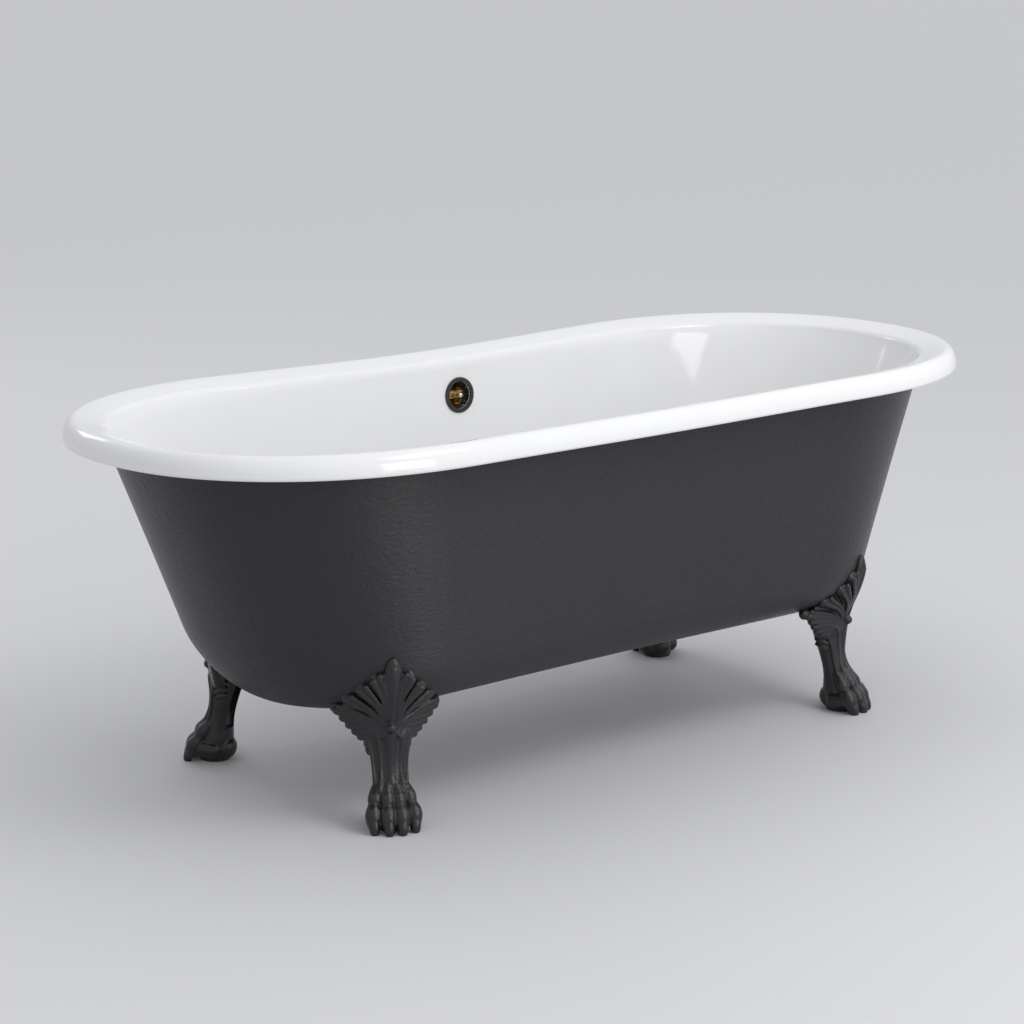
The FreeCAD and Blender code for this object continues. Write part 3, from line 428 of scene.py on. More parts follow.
def satin_charcoal_paint():
    """Satin paint rolled on to sanded cast iron: its orange peel runs in small waves along the tub."""
    material, tree = new_material("satin_charcoal_paint")
    where = add(tree, "ShaderNodeTexCoord")
    along = add(tree, "ShaderNodeMapping", {"Vector": where.outputs["Object"], "Scale": (1.0, 1.0, 2.2)})
    wrinkle = add(tree, "ShaderNodeTexNoise", {"Vector": along.outputs[0], "Scale": 95.0, "Detail": 3.0,
                                               "Roughness": 0.55, "Distortion": 0.6})
    grain = add(tree, "ShaderNodeTexNoise", {"Vector": where.outputs["Object"], "Scale": 420.0, "Detail": 3.0})
    cloud = add(tree, "ShaderNodeTexNoise", {"Vector": where.outputs["Object"], "Scale": 5.0, "Detail": 5.0})
    waves = add(tree, "ShaderNodeBump", {"Height": wrinkle.outputs["Fac"], "Strength": 0.75, "Distance": 0.0022})
    rough = add(tree, "ShaderNodeBump", {"Height": grain.outputs["Fac"], "Strength": 0.25, "Distance": 0.0006,
                                         "Normal": waves.outputs[0]})
    tone = add(tree, "ShaderNodeValToRGB", {"Fac": cloud.outputs["Fac"]})
    tone.color_ramp.elements[0].color = linear("1D1D1F")
    tone.color_ramp.elements[1].color = linear("242427")
    shine = add(tree, "ShaderNodeMapRange", {"Value": grain.outputs["Fac"], "To Min": 0.40, "To Max": 0.50})
    around = add(tree, "ShaderNodeTangent", direction_type="RADIAL", axis="Z")
    paint = add(tree, "ShaderNodeBsdfPrincipled", {
        "Base Color": tone.outputs[0], "Roughness": shine.outputs[0], "IOR": 1.5, "Normal": rough.outputs[0],
        "Tangent": around.outputs[0], "Anisotropic": 0.7, "Anisotropic Rotation": 0.25})
    add(tree, "ShaderNodeOutputMaterial", {"Surface": paint.outputs[0]})
    return material


FOOT_FROM_END = 349.0
FOOT_TURN = 28.0
FAN_TIP_HEIGHT = 278.0
FAN_TIP_FORWARD = 22.0
FOOT_GAP = 0.4
LUG_SEAT = 162.0
LUG_BACK = 48.0
LUG_SIZE = 38.0
LUG_HEIGHT = 14.0


def foot_frame():
    """The front left foot's own frame: X forward, Y sideways, Z up, its origin on the floor."""
    cos, sin = cos_sin(FOOT_TURN)
    forward, sideways = Vector((-sin, -cos, 0)), Vector((cos, -sin, 0))
    tip_x = -(LENGTH / 2 - FOOT_FROM_END + FAN_TIP_FORWARD * sin)
    tip = Vector((tip_x, -half_width(tip_x, body_section(FAN_TIP_HEIGHT, 0.0)), 0))
    centre = tip - forward * FAN_TIP_FORWARD
    turn = Matrix((forward, sideways, UP)).transposed().to_4x4()
    return Matrix.Translation(centre) @ turn


FOOT_FRAME = foot_frame()
CORNERS = {
    "front_left": Matrix.Identity(4),
    "front_right": Matrix.Scale(-1, 4, X_AXIS),
    "back_left": Matrix.Scale(-1, 4, Vector((0, 1, 0))),
    "back_right": Matrix.Rotation(math.pi, 4, "Z"),
}


def box_tool(corner, size, grow=0.0):
    """A box in the foot's own frame, from its lowest corner."""
    bm = bmesh.new()
    bmesh.ops.create_cube(bm, size=1.0)
    corner = Vector(corner) - Vector((grow, grow, 0))
    size = Vector(size) + Vector((2 * grow, 2 * grow, 0))
    place = Matrix.Translation(corner + size / 2) @ Matrix.Diagonal((*size, 1))
    bm.transform(Matrix.Scale(MM, 4) @ FOOT_FRAME @ place)
    return finished(bm, "box_tool")


def carried(mesh, corner):
    """Carries a mesh from the front left corner to another one."""
    mesh.transform(CORNERS[corner])
    if CORNERS[corner].determinant() < 0:
        mesh.flip_normals()


def tub():
    cover = ENAMEL + GLAZE_GAP
    front = surface_rings(cover, IRON_WRAP)
    back = surface_rings(cover + CAST_WALL, 0.0)
    casting = finished(extruded(front[::-1] + back), "casting")
    for corner in CORNERS:
        lug = box_tool((-LUG_BACK - LUG_SIZE / 2, -LUG_SIZE / 2, LUG_SEAT), (LUG_SIZE, LUG_SIZE, LUG_HEIGHT))
        carried(lug.data, corner)
        combine(casting, lug, "UNION")
    drilled(casting)
    casting.data.materials.clear()
    casting.data.materials.append(satin_charcoal_paint())
    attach(casting, "tub")
    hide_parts("tub_casting")

    glaze = surface_rings(0.0, ENAMEL_WRAP)
    under = surface_rings(ENAMEL, ENAMEL_WRAP)
    lining = finished(extruded(glaze[::-1] + under), "lining")
    drilled(lining)
    lining.data.materials.clear()
    lining.data.materials.append(vitreous_enamel())
    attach(lining, "tub")
    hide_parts("enamel_lining")


tub()

# ---- The claw feet --------------------------------------------------------------------------
# Four sand-cast iron feet, painted semi-gloss black: a scallop-shell fan against the tub, a leg
# with a tendon and scrolls, and a lion's paw. Each bolts up into a lug under the tub.

BALL_DETAIL = 2
VOXEL = 0.0013


def wall_at(sideways, height):
    """How far forward of the foot's centre the painted wall lies."""
    sizes = body_section(height, 0.0)
    inside, outside = -LENGTH / 4, LENGTH / 4
    while outside - inside > 0.01:
        middle = (inside + outside) / 2
        point = FOOT_FRAME @ Vector((middle, sideways, 0))
        if abs(point.y) < half_width(point.x, sizes) and point.y < 0:
            inside = middle
        else:
            outside = middle
    return outside


def ball(bm, place, radius, flat=1.0):
    """A ball, or one pressed flatter from front to back."""
    size = Matrix.Diagonal((radius * flat, radius, radius, 1))
    bmesh.ops.create_icosphere(bm, subdivisions=BALL_DETAIL + 1, radius=1.0, matrix=Matrix.Translation(place) @ size)


def strand(bm, controls, flat=1.0):
    """A smooth run of overlapping balls through places given as forward, sideways, height, radius."""
    run = bmesh.new()
    points = [Vector(control) for control in controls]
    points = [points[0] * 2 - points[1]] + points + [points[-1] * 2 - points[-2]]
    for p, a, b, q in zip(points, points[1:], points[2:], points[3:]):
        count = max(2, math.ceil((b - a).length / (0.3 * min(a[3], b[3]))))
        for i in range(count + 1):
            t = i / count
            place = 0.5 * (2 * a + (b - p) * t + (2 * p - 5 * a + 4 * b - q) * t ** 2 + (3 * a - p - 3 * b + q) * t ** 3)
            size = Matrix.Diagonal((place[3] * flat, place[3], place[3], 1))
            matrix = Matrix.Translation(place.xyz) @ size
            bmesh.ops.create_icosphere(run, subdivisions=BALL_DETAIL, radius=1.0, matrix=matrix)
    mesh = bpy.data.meshes.new("run")
    run.to_mesh(mesh)
    run.free()
    bm.from_mesh(mesh)
    bpy.data.meshes.remove(mesh)


def column(bm, ovals):
    """A solid run of oval sections, given as height, forward, half depth, half width."""
    rows = [Vector(oval) for oval in ovals]
    rows = [rows[0] * 2 - rows[1]] + rows + [rows[-1] * 2 - rows[-2]]
    smooth = []
    for p, a, b, q in zip(rows, rows[1:], rows[2:], rows[3:]):
        for i in range(6):
            t = i / 6
            smooth.append(0.5 * (2 * a + (b - p) * t + (2 * p - 5 * a + 4 * b - q) * t ** 2
                                 + (3 * a - p - 3 * b + q) * t ** 3))
    smooth.append(rows[-2])
    start = smooth[0]
    place = Matrix.Translation((start[1], 0, start[0])) @ Matrix.Diagonal((start[2], start[3], 1, 1))
    made = bmesh.ops.create_circle(bm, cap_ends=True, segments=48, radius=1.0, matrix=place)
    edges = list({edge for vert in made["verts"] for edge in vert.link_edges})
    for before, row in zip(smooth, smooth[1:]):
        made = bmesh.ops.extrude_edge_only(bm, edges=edges)["geom"]
        verts = {item for item in made if isinstance(item, bmesh.types.BMVert)}
        edges = [item for item in made if isinstance(item, bmesh.types.BMEdge) and verts.issuperset(item.verts)]
        for vert in verts:
            vert.co.x = row[1] + (vert.co.x - before[1]) * row[2] / before[2]
            vert.co.y *= row[3] / before[3]
            vert.co.z = row[0]
    bmesh.ops.edgeloop_fill(bm, edges=edges)


# each big lobe of the shell: sideways, height of its tip, radius, furthest back
LOBES = ((25, 256, 12.5, 0), (43, 238, 12.5, -10), (60, 218, 12.5, -30), (75, 195, 11.5, -52))
FRINGE = ((76, 179), (67, 168), (58, 157), (49, 147), (41, 139))
FRINGE_RADIUS = 7.0
SHELL_ROOT = Vector((-7, 0, 163))
BEAD = (1, 0, 160)
BEAD_RADIUS = 8.0


def lobe_end(sideways, tip, radius, back):
    """Where the round end of a lobe has its middle."""
    height = tip - radius
    return Vector((max(wall_at(sideways, height) + 1, back), sideways, height))


def rib(bm, end, side, fall, radii, lift=0.0, flat=1.0):
    """A rib of the shell: it leaves the bead upwards, then bends out to the end of its lobe."""
    root = SHELL_ROOT + Vector((lift * 0.5, (2.5 + 9.0 * fall) * side, -16.0 * fall))
    span = (end - root).length
    middle = root.lerp(end, 0.52) + Vector((5.0 + lift * 0.9, -0.10 * span * (0.2 + fall) * side, 0.05 * span))
    tip = end + Vector((lift, 0, 0))
    strand(bm, [(*root, radii[0]), (*middle, radii[1]), (*tip, radii[2])], flat)


def fan(bm):
    """The shell: a tall middle petal, and fluted lobes each side that end in a scalloped fringe."""
    strand(bm, [(-3, 0, 168, 4.6), (6, 0, 190, 6.6), (13, 0, 214, 9.6), (17, 0, 238, 13.4), (19, 0, 252, 14.8),
                (21, 0, 263, 12.0), (22, 0, 270, 7.6)], 0.72)
    strand(bm, [(3, 0, 170, 2.4), (11, 0, 196, 2.8), (20.5, 0, 222, 4.0), (25, 0, 246, 6.0), (25.5, 0, 258, 6.0)])
    for side in (1, -1):
        strand(bm, [(-2, 5.5 * side, 166, 2.0), (7, 10.0 * side, 196, 2.8), (12, 15.0 * side, 224, 3.6),
                    (15, 18 * side, 244, 4.4)])
        ends = [lobe_end(v * side, z, r, back) for v, z, r, back in LOBES]
        before = Vector((17, 0, 262))
        for i, (end, lobe) in enumerate(zip(ends, LOBES)):
            after = ends[i + 1] if i + 1 < len(ends) else Vector((-54, FRINGE[0][0] * side, FRINGE[0][1]))
            along = (after - before).normalized() * lobe[2] * 0.5
            fall = 0.14 + 0.13 * i
            rib(bm, end, side, fall, (3.6, 0.5 * lobe[2], lobe[2]), lift=-4.0, flat=0.8)
            rib(bm, before.lerp(end, 0.5).lerp(SHELL_ROOT, 0.1), side, fall - 0.06, (3.6, 6.5, 7.5), lift=-5.0, flat=0.8)
            rib(bm, end - along, side, fall - 0.035, (1.8, 3.0, 0.5 * lobe[2]), lift=4.6)
            rib(bm, end + along, side, fall + 0.035, (1.8, 3.0, 0.5 * lobe[2]), lift=4.6)
            before = end
        for i, (v, z) in enumerate(FRINGE):
            end = Vector((-50 + 2.8 * i, v * side, z))
            rib(bm, end, side, 0.68 + 0.13 * i, (2.4, 3.6, FRINGE_RADIUS), lift=2.5)
            rib(bm, end.lerp(SHELL_ROOT, 0.12), side, 0.66 + 0.13 * i, (4.0, 7.0, 8.0), lift=-5.0, flat=0.8)
    ball(bm, BEAD, BEAD_RADIUS)


def leg(bm):
    """The leg, with a tendon down its front that parts over the toes, and leafy edges down its sides."""
    column(bm, ((-6, -8, 22, 22), (14, -8, 29, 28), (36, -10, 29, 31), (56, -16, 23, 27.5), (78, -21, 21, 26),
                (104, -27, 22, 28), (130, -32, 26, 31), (152, -34, 29, 36), (178, -34, 28, 33)))
    strand(bm, [(-6, 0, 154, 8.5), (-9, 0, 132, 9.0), (-10, 0, 106, 8.4), (-8, 0, 86, 8.8), (-4, 0, 70, 10)], 0.95)
    for side in (1, -1):
        strand(bm, [(-22, 31 * side, 150, 4.0), (-15, 24 * side, 151, 4.2), (-10.5, 19 * side, 142, 3.8),
                    (-10, 16.5 * side, 120, 2.8), (-8, 15.5 * side, 96, 2.6), (-2, 16.5 * side, 76, 3.0),
                    (6, 19 * side, 62, 4)])
        strand(bm, [(-24, 33 * side, 140, 3.0), (-19, 28.5 * side, 118, 3.0), (-15, 26 * side, 94, 2.8),
                    (-9, 25 * side, 72, 3.6)])
        for height, sideways, radius in ((150, 35, 7.5), (138, 33.5, 6.5), (127, 32, 5.6), (117, 30.5, 4.6)):
            strand(bm, [(-46, (sideways - 2) * side, height + 2, radius * 0.7), (-36, sideways * side, height, radius),
                        (-27, sideways * side, height - 4, radius * 0.6)])


def paw(bm):
    """Heel, pads and four toes, each with a knuckle and a blunt claw."""
    ball(bm, (-24, 0, 22), 22)
    for side in (1, -1):
        strand(bm, [(-12, 21 * side, 22, 17), (6, 26 * side, 24, 14.5)])
    for v in (-31.5, -10.5, 10.5, 31.5):
        back = 0.011 * v * v
        strand(bm, [(-15 - back, v * 0.36, 96, 3.4), (-6 - back, v * 0.54, 78, 5.0), (7 - back, v * 0.77, 58, 10.2),
                    (13 - back, v * 0.84, 50, 11.8), (16 - back, v * 0.88, 42, 9.6)])
        strand(bm, [(18 - back, v * 0.92, 39, 10.2), (26 - back, v, 28, 13.4), (30 - back, v, 17, 11.6)])
        strand(bm, [(30 - back, v, 21, 10.2), (35 - back, v, 12, 9.4), (37.5 - back, v, 5, 7.8)])


def cast_iron_foot():
    bm = bmesh.new()
    fan(bm)
    leg(bm)
    paw(bm)
    bm.transform(Matrix.Scale(MM, 4) @ FOOT_FRAME)
    foot = finished(bm, "foot")
    remesh = foot.modifiers.new("one_skin", "REMESH")
    remesh.mode = "VOXEL"
    remesh.voxel_size = VOXEL
    relax = foot.modifiers.new("relax", "SMOOTH")
    relax.factor = 0.5
    relax.iterations = 3
    applied(foot)
    combine(foot, box_tool((-80, -15, 56), (48, 30, 94)))
    top = FAN_TIP_HEIGHT + 40
    block = [ring(body_section(top, -FOOT_GAP), top)]
    wall_foot = BASE_HEIGHT + BASE_ROUND_Z
    for angle in steps(0.0, 90.0, ROUND_STEPS):
        z = wall_foot - (BASE_ROUND_Z + FOOT_GAP) * cos_sin(angle)[1]
        block.append(ring(body_section(z, -FOOT_GAP), z))
    combine(foot, finished(extruded(block), "wall_tool"))
    combine(foot, box_tool((-LUG_BACK - LUG_SIZE / 2, -LUG_SIZE / 2, LUG_SEAT), (LUG_SIZE, LUG_SIZE, 60), 0.5))
    combine(foot, box_tool((-150, -100, -40), (300, 200, 40)))
    hole = FOOT_FRAME @ Vector((-LUG_BACK, 0, 150))
    combine(foot, bar_tool(5.6, hole - UP * 20, hole + UP * 20, 32))
    mesh = foot.data
    bpy.data.objects.remove(foot)
    return mesh


def black_iron_paint():
    """Semi-gloss black over sand-cast iron: the sand's grain shows as fine pits under the gloss."""
    material, tree = new_material("black_iron_paint")
    where = add(tree, "ShaderNodeTexCoord")
    sand = add(tree, "ShaderNodeTexNoise", {"Vector": where.outputs["Object"], "Scale": 420.0, "Detail": 3.0})
    lumps = add(tree, "ShaderNodeTexNoise", {"Vector": where.outputs["Object"], "Scale": 170.0, "Detail": 3.0})
    low = add(tree, "ShaderNodeBump", {"Height": lumps.outputs["Fac"], "Strength": 0.45, "Distance": 0.0015})
    fine = add(tree, "ShaderNodeBump", {"Height": sand.outputs["Fac"], "Strength": 0.18, "Distance": 0.0005,
                                        "Normal": low.outputs[0]})
    tone = add(tree, "ShaderNodeValToRGB", {"Fac": lumps.outputs["Fac"]})
    tone.color_ramp.elements[0].color = linear("18181A")
    tone.color_ramp.elements[1].color = linear("232325")
    shine = add(tree, "ShaderNodeMapRange", {"Value": sand.outputs["Fac"], "To Min": 0.26, "To Max": 0.40})
    paint = add(tree, "ShaderNodeBsdfPrincipled", {
        "Base Color": tone.outputs[0], "Roughness": shine.outputs[0], "IOR": 1.5, "Normal": fine.outputs[0]})
    add(tree, "ShaderNodeOutputMaterial", {"Surface": paint.outputs[0]})
    return material


def feet():
    pattern = cast_iron_foot()
    paint = black_iron_paint()
    for corner in CORNERS:
        mesh = pattern.copy()
        carried(mesh, corner)
        mesh.shade_smooth()
        mesh.set_sharp_from_angle(angle=math.radians(50))
        mesh.materials.clear()
        mesh.materials.append(paint)
        foot = bpy.data.objects.new("foot_" + corner, mesh)
        bpy.context.scene.collection.objects.link(foot)
        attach(foot, "tub")
        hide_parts("claw_foot_" + corner)


feet()

# ---- The foot bolts and washers -------------------------------------------------------------
# One M10 hexagon bolt and a flat washer hold each foot up against its lug.
# Both are cold-formed steel with a bright zinc plating, which is dull and faintly blotched.

BOLT_ROUNDING = 0.6


def rounded_copy(node, name, rounding, sharp=35.0):
    """A copy of a node with its triangles merged and its sharp edges rounded over."""
    bm = bmesh.new()
    bm.from_mesh(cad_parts[node].data)
    bmesh.ops.remove_doubles(bm, verts=bm.verts, dist=1e-6)
    flat = math.radians(1.0)
    bmesh.ops.dissolve_limit(bm, angle_limit=flat, verts=bm.verts, edges=bm.edges)
    edges = [edge for edge in bm.edges if len(edge.link_faces) == 2 and edge.calc_face_angle(0.0) > math.radians(sharp)]
    bmesh.ops.bevel(bm, geom=edges, offset=rounding * MM, offset_type="OFFSET", segments=2, profile=0.5,
                    affect="EDGES", clamp_overlap=True, material=-1)
    bmesh.ops.remove_doubles(bm, verts=bm.verts, dist=1e-7)
    piece = finished(bm, name, sharp)
    piece.data.materials.clear()
    return piece


def dress(piece, body, node, material):
    """Paints a piece, sets it on its body in its node's place, and hides that node."""
    piece.data.materials.clear()
    piece.data.materials.append(material)
    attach(piece, body)
    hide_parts(node)


def zinc_plated_steel():
    """Bright zinc: a soft grey shine, blotched over a few millimetres where the plating took."""
    material, tree = new_material("zinc_plated_steel")
    where = add(tree, "ShaderNodeTexCoord")
    blotch = add(tree, "ShaderNodeTexNoise", {"Vector": where.outputs["Object"], "Scale": 240.0, "Detail": 3.0})
    tone = add(tree, "ShaderNodeValToRGB", {"Fac": blotch.outputs["Fac"]})
    tone.color_ramp.elements[0].color = linear("A9ABAD")
    tone.color_ramp.elements[1].color = linear("C4C5C6")
    shine = add(tree, "ShaderNodeMapRange", {"Value": blotch.outputs["Fac"], "To Min": 0.28, "To Max": 0.45})
    dent = add(tree, "ShaderNodeBump", {"Height": blotch.outputs["Fac"], "Strength": 0.1, "Distance": 0.0003})
    metal = add(tree, "ShaderNodeBsdfPrincipled", {
        "Base Color": tone.outputs[0], "Metallic": 1.0, "Roughness": shine.outputs[0], "Normal": dent.outputs[0]})
    add(tree, "ShaderNodeOutputMaterial", {"Surface": metal.outputs[0]})
    return material


zinc = zinc_plated_steel()
for corner in CORNERS:
    for part in ("foot_bolt_", "foot_washer_"):
        fastener = rounded_copy(part + corner, part.replace("foot_", "") + corner, BOLT_ROUNDING)
        dress(fastener, "tub", part + corner, zinc)

# ---- The overflow plate, its screw and its gaskets ------------------------------------------
# A pressed brass plate, dished and pierced with eight drop-shaped holes, polished and chromed.
# A domed screw through its middle pulls it up against the enamel on a rubber ring.

TEAR_COUNT = 8
TEAR_RING = 14.8
TEAR_RADIUS = 3.4
TEAR_POINT = 7.6
PINHOLE_COUNT = 6
PINHOLE_RING = 6.2
PINHOLE_RADIUS = 0.8
SCREW_PAST_WALL = 14.2
LATHE_STEPS = 96


def lathed(profile, steps_round=LATHE_STEPS):
    """A piece turned on a lathe from (radius, height) points, in millimetres."""
    bm = bmesh.new()
    verts = [bm.verts.new((radius * MM, 0, height * MM)) for radius, height in profile]
    ends = verts[1:] if profile[0][0] == 0 else verts[1:] + verts[:1]
    edges = [bm.edges.new(pair) for pair in zip(verts, ends)]
    bmesh.ops.spin(bm, geom=verts + edges, cent=(0, 0, 0), axis=UP, angle=2 * math.pi, steps=steps_round,
                   use_merge=True)
    bmesh.ops.remove_doubles(bm, verts=bm.verts, dist=1e-6)
    bmesh.ops.recalc_face_normals(bm, faces=bm.faces)
    return bm


def eased(points, radius, segments=4):
    """A profile with its inner corners rounded; points are (radius, height)."""
    flat = [Vector(point) for point in points]
    made = [flat[0]]
    for before, corner, after in zip(flat, flat[1:], flat[2:]):
        reach = min(radius, (corner - before).length / 2.1, (after - corner).length / 2.1)
        start = corner + (before - corner).normalized() * reach
        end = corner + (after - corner).normalized() * reach
        for i in range(segments + 1):
            t = i / segments
            made.append(start * (1 - t) ** 2 + corner * (2 * t * (1 - t)) + end * t ** 2)
    return [tuple(point) for point in made + [flat[-1]]]


def overflow_place():
    """Carries a piece from its own axis to the far wall, square to the enamel."""
    side = OVERFLOW_AXIS.cross(X_AXIS)
    turn = Matrix((X_AXIS, side, OVERFLOW_AXIS)).transposed().to_4x4()
    return Matrix.Translation(OVERFLOW * MM) @ turn


def tear_punch():
    """The eight drop-shaped punches, the small round ones and the screw's, all in one."""
    one = bmesh.new()
    bmesh.ops.create_cone(one, cap_ends=True, segments=32, radius1=TEAR_RADIUS * MM, radius2=TEAR_RADIUS * MM,
                          depth=0.02, matrix=Matrix.Translation((TEAR_RING * MM, 0, 0)))
    for height in (-0.01, 0.01):
        one.verts.new((TEAR_POINT * MM, 0, height))
    hull = bmesh.ops.convex_hull(one, input=one.verts)
    bmesh.ops.delete(one, geom=[v for v in hull["geom_interior"] if isinstance(v, bmesh.types.BMVert)], context="VERTS")
    bmesh.ops.spin(one, geom=one.verts[:] + one.edges[:] + one.faces[:], cent=(0, 0, 0), axis=UP, use_duplicate=True,
                   angle=2 * math.pi * (TEAR_COUNT - 1) / TEAR_COUNT, steps=TEAR_COUNT - 1)
    for i in range(PINHOLE_COUNT):
        turn = Matrix.Rotation(2 * math.pi * i / PINHOLE_COUNT, 4, "Z")
        bmesh.ops.create_cone(one, cap_ends=True, segments=12, radius1=PINHOLE_RADIUS * MM,
                              radius2=PINHOLE_RADIUS * MM, depth=0.02,
                              matrix=turn @ Matrix.Translation((PINHOLE_RING * MM, 0, 0)))
    bmesh.ops.create_cone(one, cap_ends=True, segments=32, radius1=0.0029, radius2=0.0029, depth=0.02)
    bmesh.ops.recalc_face_normals(one, faces=one.faces)
    return finished(one, "tear_punch")


def polished_chrome():
    """Chrome over polished brass: a mirror, faintly hazed where hands and water have dried."""
    material, tree = new_material("polished_chrome")
    where = add(tree, "ShaderNodeTexCoord")
    haze = add(tree, "ShaderNodeTexNoise", {"Vector": where.outputs["Object"], "Scale": 60.0, "Detail": 4.0})
    wave = add(tree, "ShaderNodeTexNoise", {"Vector": where.outputs["Object"], "Scale": 90.0, "Detail": 1.0})
    tone = add(tree, "ShaderNodeValToRGB", {"Fac": haze.outputs["Fac"]})
    tone.color_ramp.elements[0].color = linear("C6C7C9")
    tone.color_ramp.elements[1].color = linear("D2D3D5")
    shine = add(tree, "ShaderNodeMapRange", {"Value": haze.outputs["Fac"], "To Min": 0.07, "To Max": 0.20})
    dent = add(tree, "ShaderNodeBump", {"Height": wave.outputs["Fac"], "Strength": 0.12, "Distance": 0.0006})
    metal = add(tree, "ShaderNodeBsdfPrincipled", {
        "Base Color": tone.outputs[0], "Metallic": 1.0, "Roughness": shine.outputs[0], "Normal": dent.outputs[0]})
    add(tree, "ShaderNodeOutputMaterial", {"Surface": metal.outputs[0]})
    return material


def moulded_rubber():
    """Black moulded rubber: matt, with the fine bloom and grain of the mould."""
    material, tree = new_material("moulded_rubber")
    where = add(tree, "ShaderNodeTexCoord")
    grain = add(tree, "ShaderNodeTexNoise", {"Vector": where.outputs["Object"], "Scale": 700.0, "Detail": 2.0})
    bloom = add(tree, "ShaderNodeTexNoise", {"Vector": where.outputs["Object"], "Scale": 70.0, "Detail": 3.0})
    tone = add(tree, "ShaderNodeValToRGB", {"Fac": bloom.outputs["Fac"]})
    tone.color_ramp.elements[0].color = linear("1B1B1C")
    tone.color_ramp.elements[1].color = linear("2C2C2D")
    skin = add(tree, "ShaderNodeBump", {"Height": grain.outputs["Fac"], "Strength": 0.25, "Distance": 0.0002})
    rubber = add(tree, "ShaderNodeBsdfPrincipled", {
        "Base Color": tone.outputs[0], "Roughness": 0.68, "IOR": 1.52, "Normal": skin.outputs[0]})
    add(tree, "ShaderNodeOutputMaterial", {"Surface": rubber.outputs[0]})
    return material


chrome = polished_chrome()
rubber = moulded_rubber()


def overflow_plate():
    face = eased([(0, 4.9), (23.0, 4.9), (28.6, 6.3), (31.6, 6.0), (33.0, 3.4), (33.0, 0.2), (31.2, 0.2),
                  (31.2, 3.1), (0, 3.1)], 1.6)
    plate = finished(lathed(face), "overflow_plate")
    combine(plate, tear_punch())
    plate.data.transform(overflow_place())
    plate.data.shade_smooth()
    plate.data.set_sharp_from_angle(angle=math.radians(40))
    dress(plate, "tub", "overflow_faceplate", chrome)


def plate_screw():
    seat = 4.9
    tip = -(CAST_WALL + GLAZE_GAP + ENAMEL) * abs(OVERFLOW_AXIS.y) - SCREW_PAST_WALL
    crown = [(0, seat + 2.2), (1.6, seat + 2.05), (3.0, seat + 1.5), (3.9, seat + 0.7), (4.2, seat), (2.5, seat),
             (2.5, tip + 0.6), (1.9, tip), (0, tip)]
    screw = finished(lathed(crown, 48), "plate_screw")
    bm = bmesh.new()
    bmesh.ops.create_cube(bm, size=1.0, matrix=Matrix.Translation((0, 0, (seat + 2.4) * MM))
                          @ Matrix.Diagonal((0.010, 0.0010, 0.0018, 1)))
    combine(screw, finished(bm, "slot_tool"))
    screw.data.transform(overflow_place())
    screw.data.shade_smooth()
    screw.data.set_sharp_from_angle(angle=math.radians(40))
    dress(screw, "tub", "overflow_screw", chrome)


overflow_plate()
plate_screw()
for place in ("front", "rear"):
    gasket = rounded_copy("overflow_" + place + "_gasket", place + "_gasket", 0.4)
    dress(gasket, "tub", "overflow_" + place + "_gasket", rubber)

# ---- The overflow elbow, pipe and compression joints ----------------------------------------
# The elbow is cast brass with a turned socket; the pipe is drawn brass tube, chromed, with one
# swept bend. A brass nut squeezes a rubber ring round the pipe at each end.


def cast_brass():
    """Brass cast in sand and machined where it seals: warm yellow, dulled, finely pitted."""
    material, tree = new_material("cast_brass")
    where = add(tree, "ShaderNodeTexCoord")
    pits = add(tree, "ShaderNodeTexNoise", {"Vector": where.outputs["Object"], "Scale": 500.0, "Detail": 3.0})
    dulled = add(tree, "ShaderNodeTexNoise", {"Vector": where.outputs["Object"], "Scale": 45.0, "Detail": 4.0})
    tone = add(tree, "ShaderNodeValToRGB", {"Fac": dulled.outputs["Fac"]})
    tone.color_ramp.elements[0].position = 0.35
    tone.color_ramp.elements[0].color = linear("B08A4C")
    tone.color_ramp.elements[1].position = 0.7
    tone.color_ramp.elements[1].color = linear("D9BC82")
    shine = add(tree, "ShaderNodeMapRange", {"Value": dulled.outputs["Fac"], "To Min": 0.42, "To Max": 0.24})
    skin = add(tree, "ShaderNodeBump", {"Height": pits.outputs["Fac"], "Strength": 0.22, "Distance": 0.0003})
    metal = add(tree, "ShaderNodeBsdfPrincipled", {
        "Base Color": tone.outputs[0], "Metallic": 1.0, "Roughness": shine.outputs[0], "Normal": skin.outputs[0]})
    add(tree, "ShaderNodeOutputMaterial", {"Surface": metal.outputs[0]})
    return material


def chromed_tube():
    """Drawn tube, chromed over its draw lines, so its mirror is a little drawn out."""
    material, tree = new_material("chromed_tube")
    where = add(tree, "ShaderNodeTexCoord")
    haze = add(tree, "ShaderNodeTexNoise", {"Vector": where.outputs["Object"], "Scale": 30.0, "Detail": 4.0})
    tone = add(tree, "ShaderNodeValToRGB", {"Fac": haze.outputs["Fac"]})
    tone.color_ramp.elements[0].color = linear("C9CACC")
    tone.color_ramp.elements[1].color = linear("DADBDC")
    shine = add(tree, "ShaderNodeMapRange", {"Value": haze.outputs["Fac"], "To Min": 0.12, "To Max": 0.26})
    metal = add(tree, "ShaderNodeBsdfPrincipled", {
        "Base Color": tone.outputs[0], "Metallic": 1.0, "Roughness": shine.outputs[0]})
    add(tree, "ShaderNodeOutputMaterial", {"Surface": metal.outputs[0]})
    return material


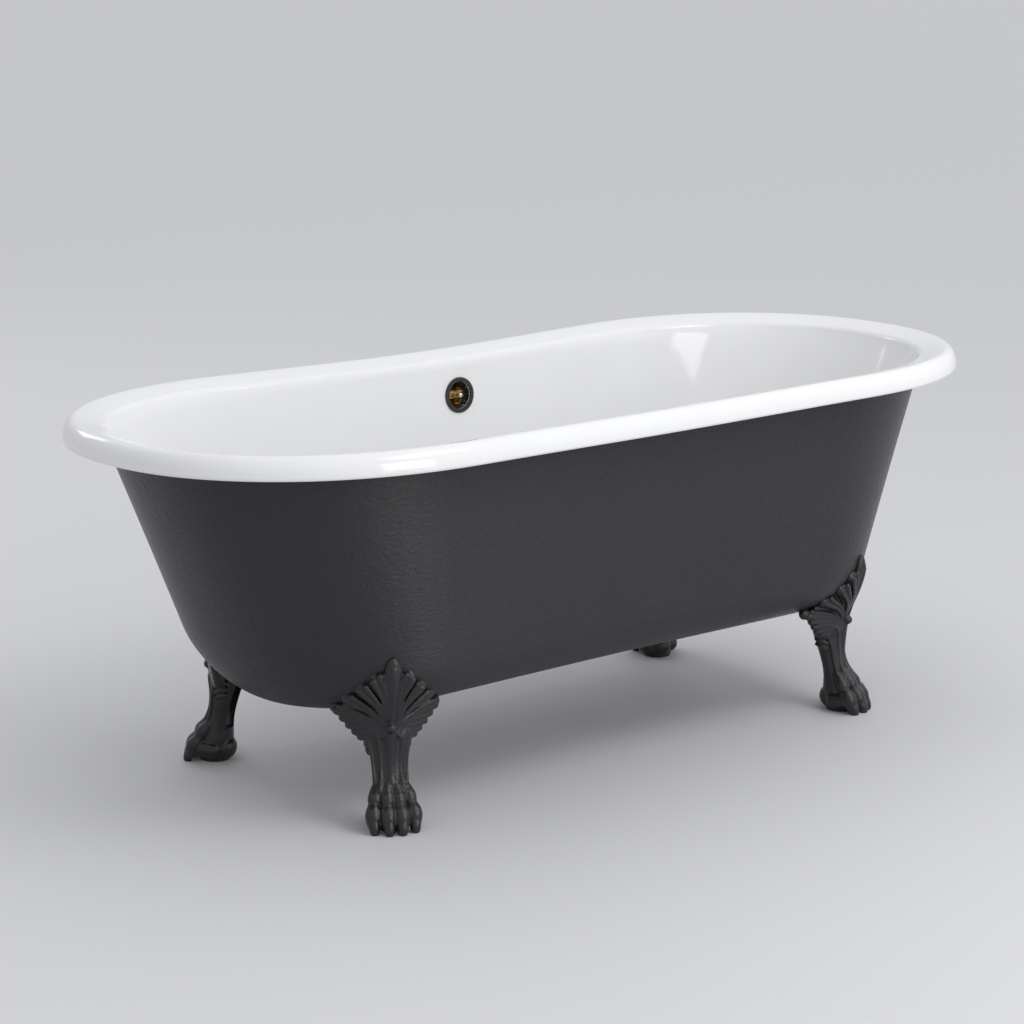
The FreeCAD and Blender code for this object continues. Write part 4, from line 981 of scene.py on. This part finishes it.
brass = cast_brass()
tube_chrome = chromed_tube()
dress(rounded_copy("overflow_elbow", "elbow", 0.7), "tub", "overflow_elbow", brass)
dress(rounded_copy("overflow_pipe", "pipe", 0.2), "tub", "overflow_pipe", tube_chrome)
for place in ("upper", "lower"):
    nut = rounded_copy("overflow_" + place + "_nut", place + "_nut", 0.8)
    dress(nut, "tub", "overflow_" + place + "_nut", brass)
    seal = rounded_copy("overflow_" + place + "_seal", place + "_seal", 0.5)
    dress(seal, "tub", "overflow_" + place + "_seal", rubber)

# ---- The waste ------------------------------------------------------------------------------
# A turned and chromed flange sits in the floor of the tub and screws down into a cast brass tee.
# A rubber ring seals it above the enamel and another below the iron.

FLOOR_TOP = BASE_HEIGHT + CAST_WALL + GLAZE_GAP + ENAMEL
FLANGE_TOP = FLOOR_TOP + 0.2 + 1.6 + 4.6


def flange():
    top = FLANGE_TOP
    profile = eased([(19.5, top - 44.6), (19.5, top - 3.0), (30.0, top - 3.0), (30.0, top), (33.2, top - 0.1),
                     (35.0, top - 2.0), (35.0, top - 4.6), (22.0, top - 4.6), (22.0, top - 44.6)], 0.9)
    piece = finished(lathed(profile), "flange")
    hub_low = top - 3.0 - 14.0
    combine(piece, finished(lathed(eased([(5.06, hub_low), (5.06, hub_low + 10), (7.4, hub_low + 10), (8.0, hub_low + 9.2),
                                          (8.0, hub_low)], 0.3), 64), "hub"), "UNION")
    for i in range(4):
        bm = bmesh.new()
        bmesh.ops.create_cube(bm, size=1.0, matrix=Matrix.Rotation(math.pi / 2 * i, 4, "Z")
                              @ Matrix.Translation((13.6 * MM, 0, (hub_low + 2.5) * MM))
                              @ Matrix.Diagonal((0.0140, 0.004, 0.005, 1)))
        combine(piece, finished(bm, "spoke"), "UNION")
    piece.data.transform(Matrix.Translation(WASTE * MM))
    piece.data.shade_smooth()
    piece.data.set_sharp_from_angle(angle=math.radians(40))
    dress(piece, "tub", "waste_flange", chrome)


flange()
dress(rounded_copy("waste_body", "tee", 0.7), "tub", "waste_body", brass)
for place in ("upper", "lower"):
    gasket = rounded_copy("waste_" + place + "_gasket", "waste_" + place + "_ring", 0.4)
    dress(gasket, "tub", "waste_" + place + "_gasket", rubber)

# ---- The stopper ----------------------------------------------------------------------------
# A push-down stopper: a domed chromed cap on a brass stem that slides in a turned brass barrel
# screwed into the flange's hub. A rubber ring under the cap closes the waste.


def cap():
    seat = FLANGE_TOP - 3.0 + 0.3 + 2.0
    crown = seat + 6.2
    radius = (29.0 ** 2 + 4.0 ** 2) / 8.0
    dome = [(r, crown - radius + math.sqrt(radius ** 2 - r * r)) for r in (0, 5, 10, 15, 20, 24, 27, 28.4)]
    profile = dome + [(29.0, seat + 1.6), (29.0, seat + 0.4), (28.5, seat), (0, seat)]
    piece = finished(lathed(profile), "cap")
    piece.data.transform(Matrix.Translation(WASTE * MM))
    dress(piece, "stopper", "stopper_cap", chrome)


cap()
dress(rounded_copy("stopper_seal", "stopper_ring", 0.5), "stopper", "stopper_seal", rubber)
dress(rounded_copy("stopper_stem", "stem", 0.4), "stopper", "stopper_stem", brass)
dress(rounded_copy("stopper_cartridge", "barrel", 0.4), "tub", "stopper_cartridge", brass)
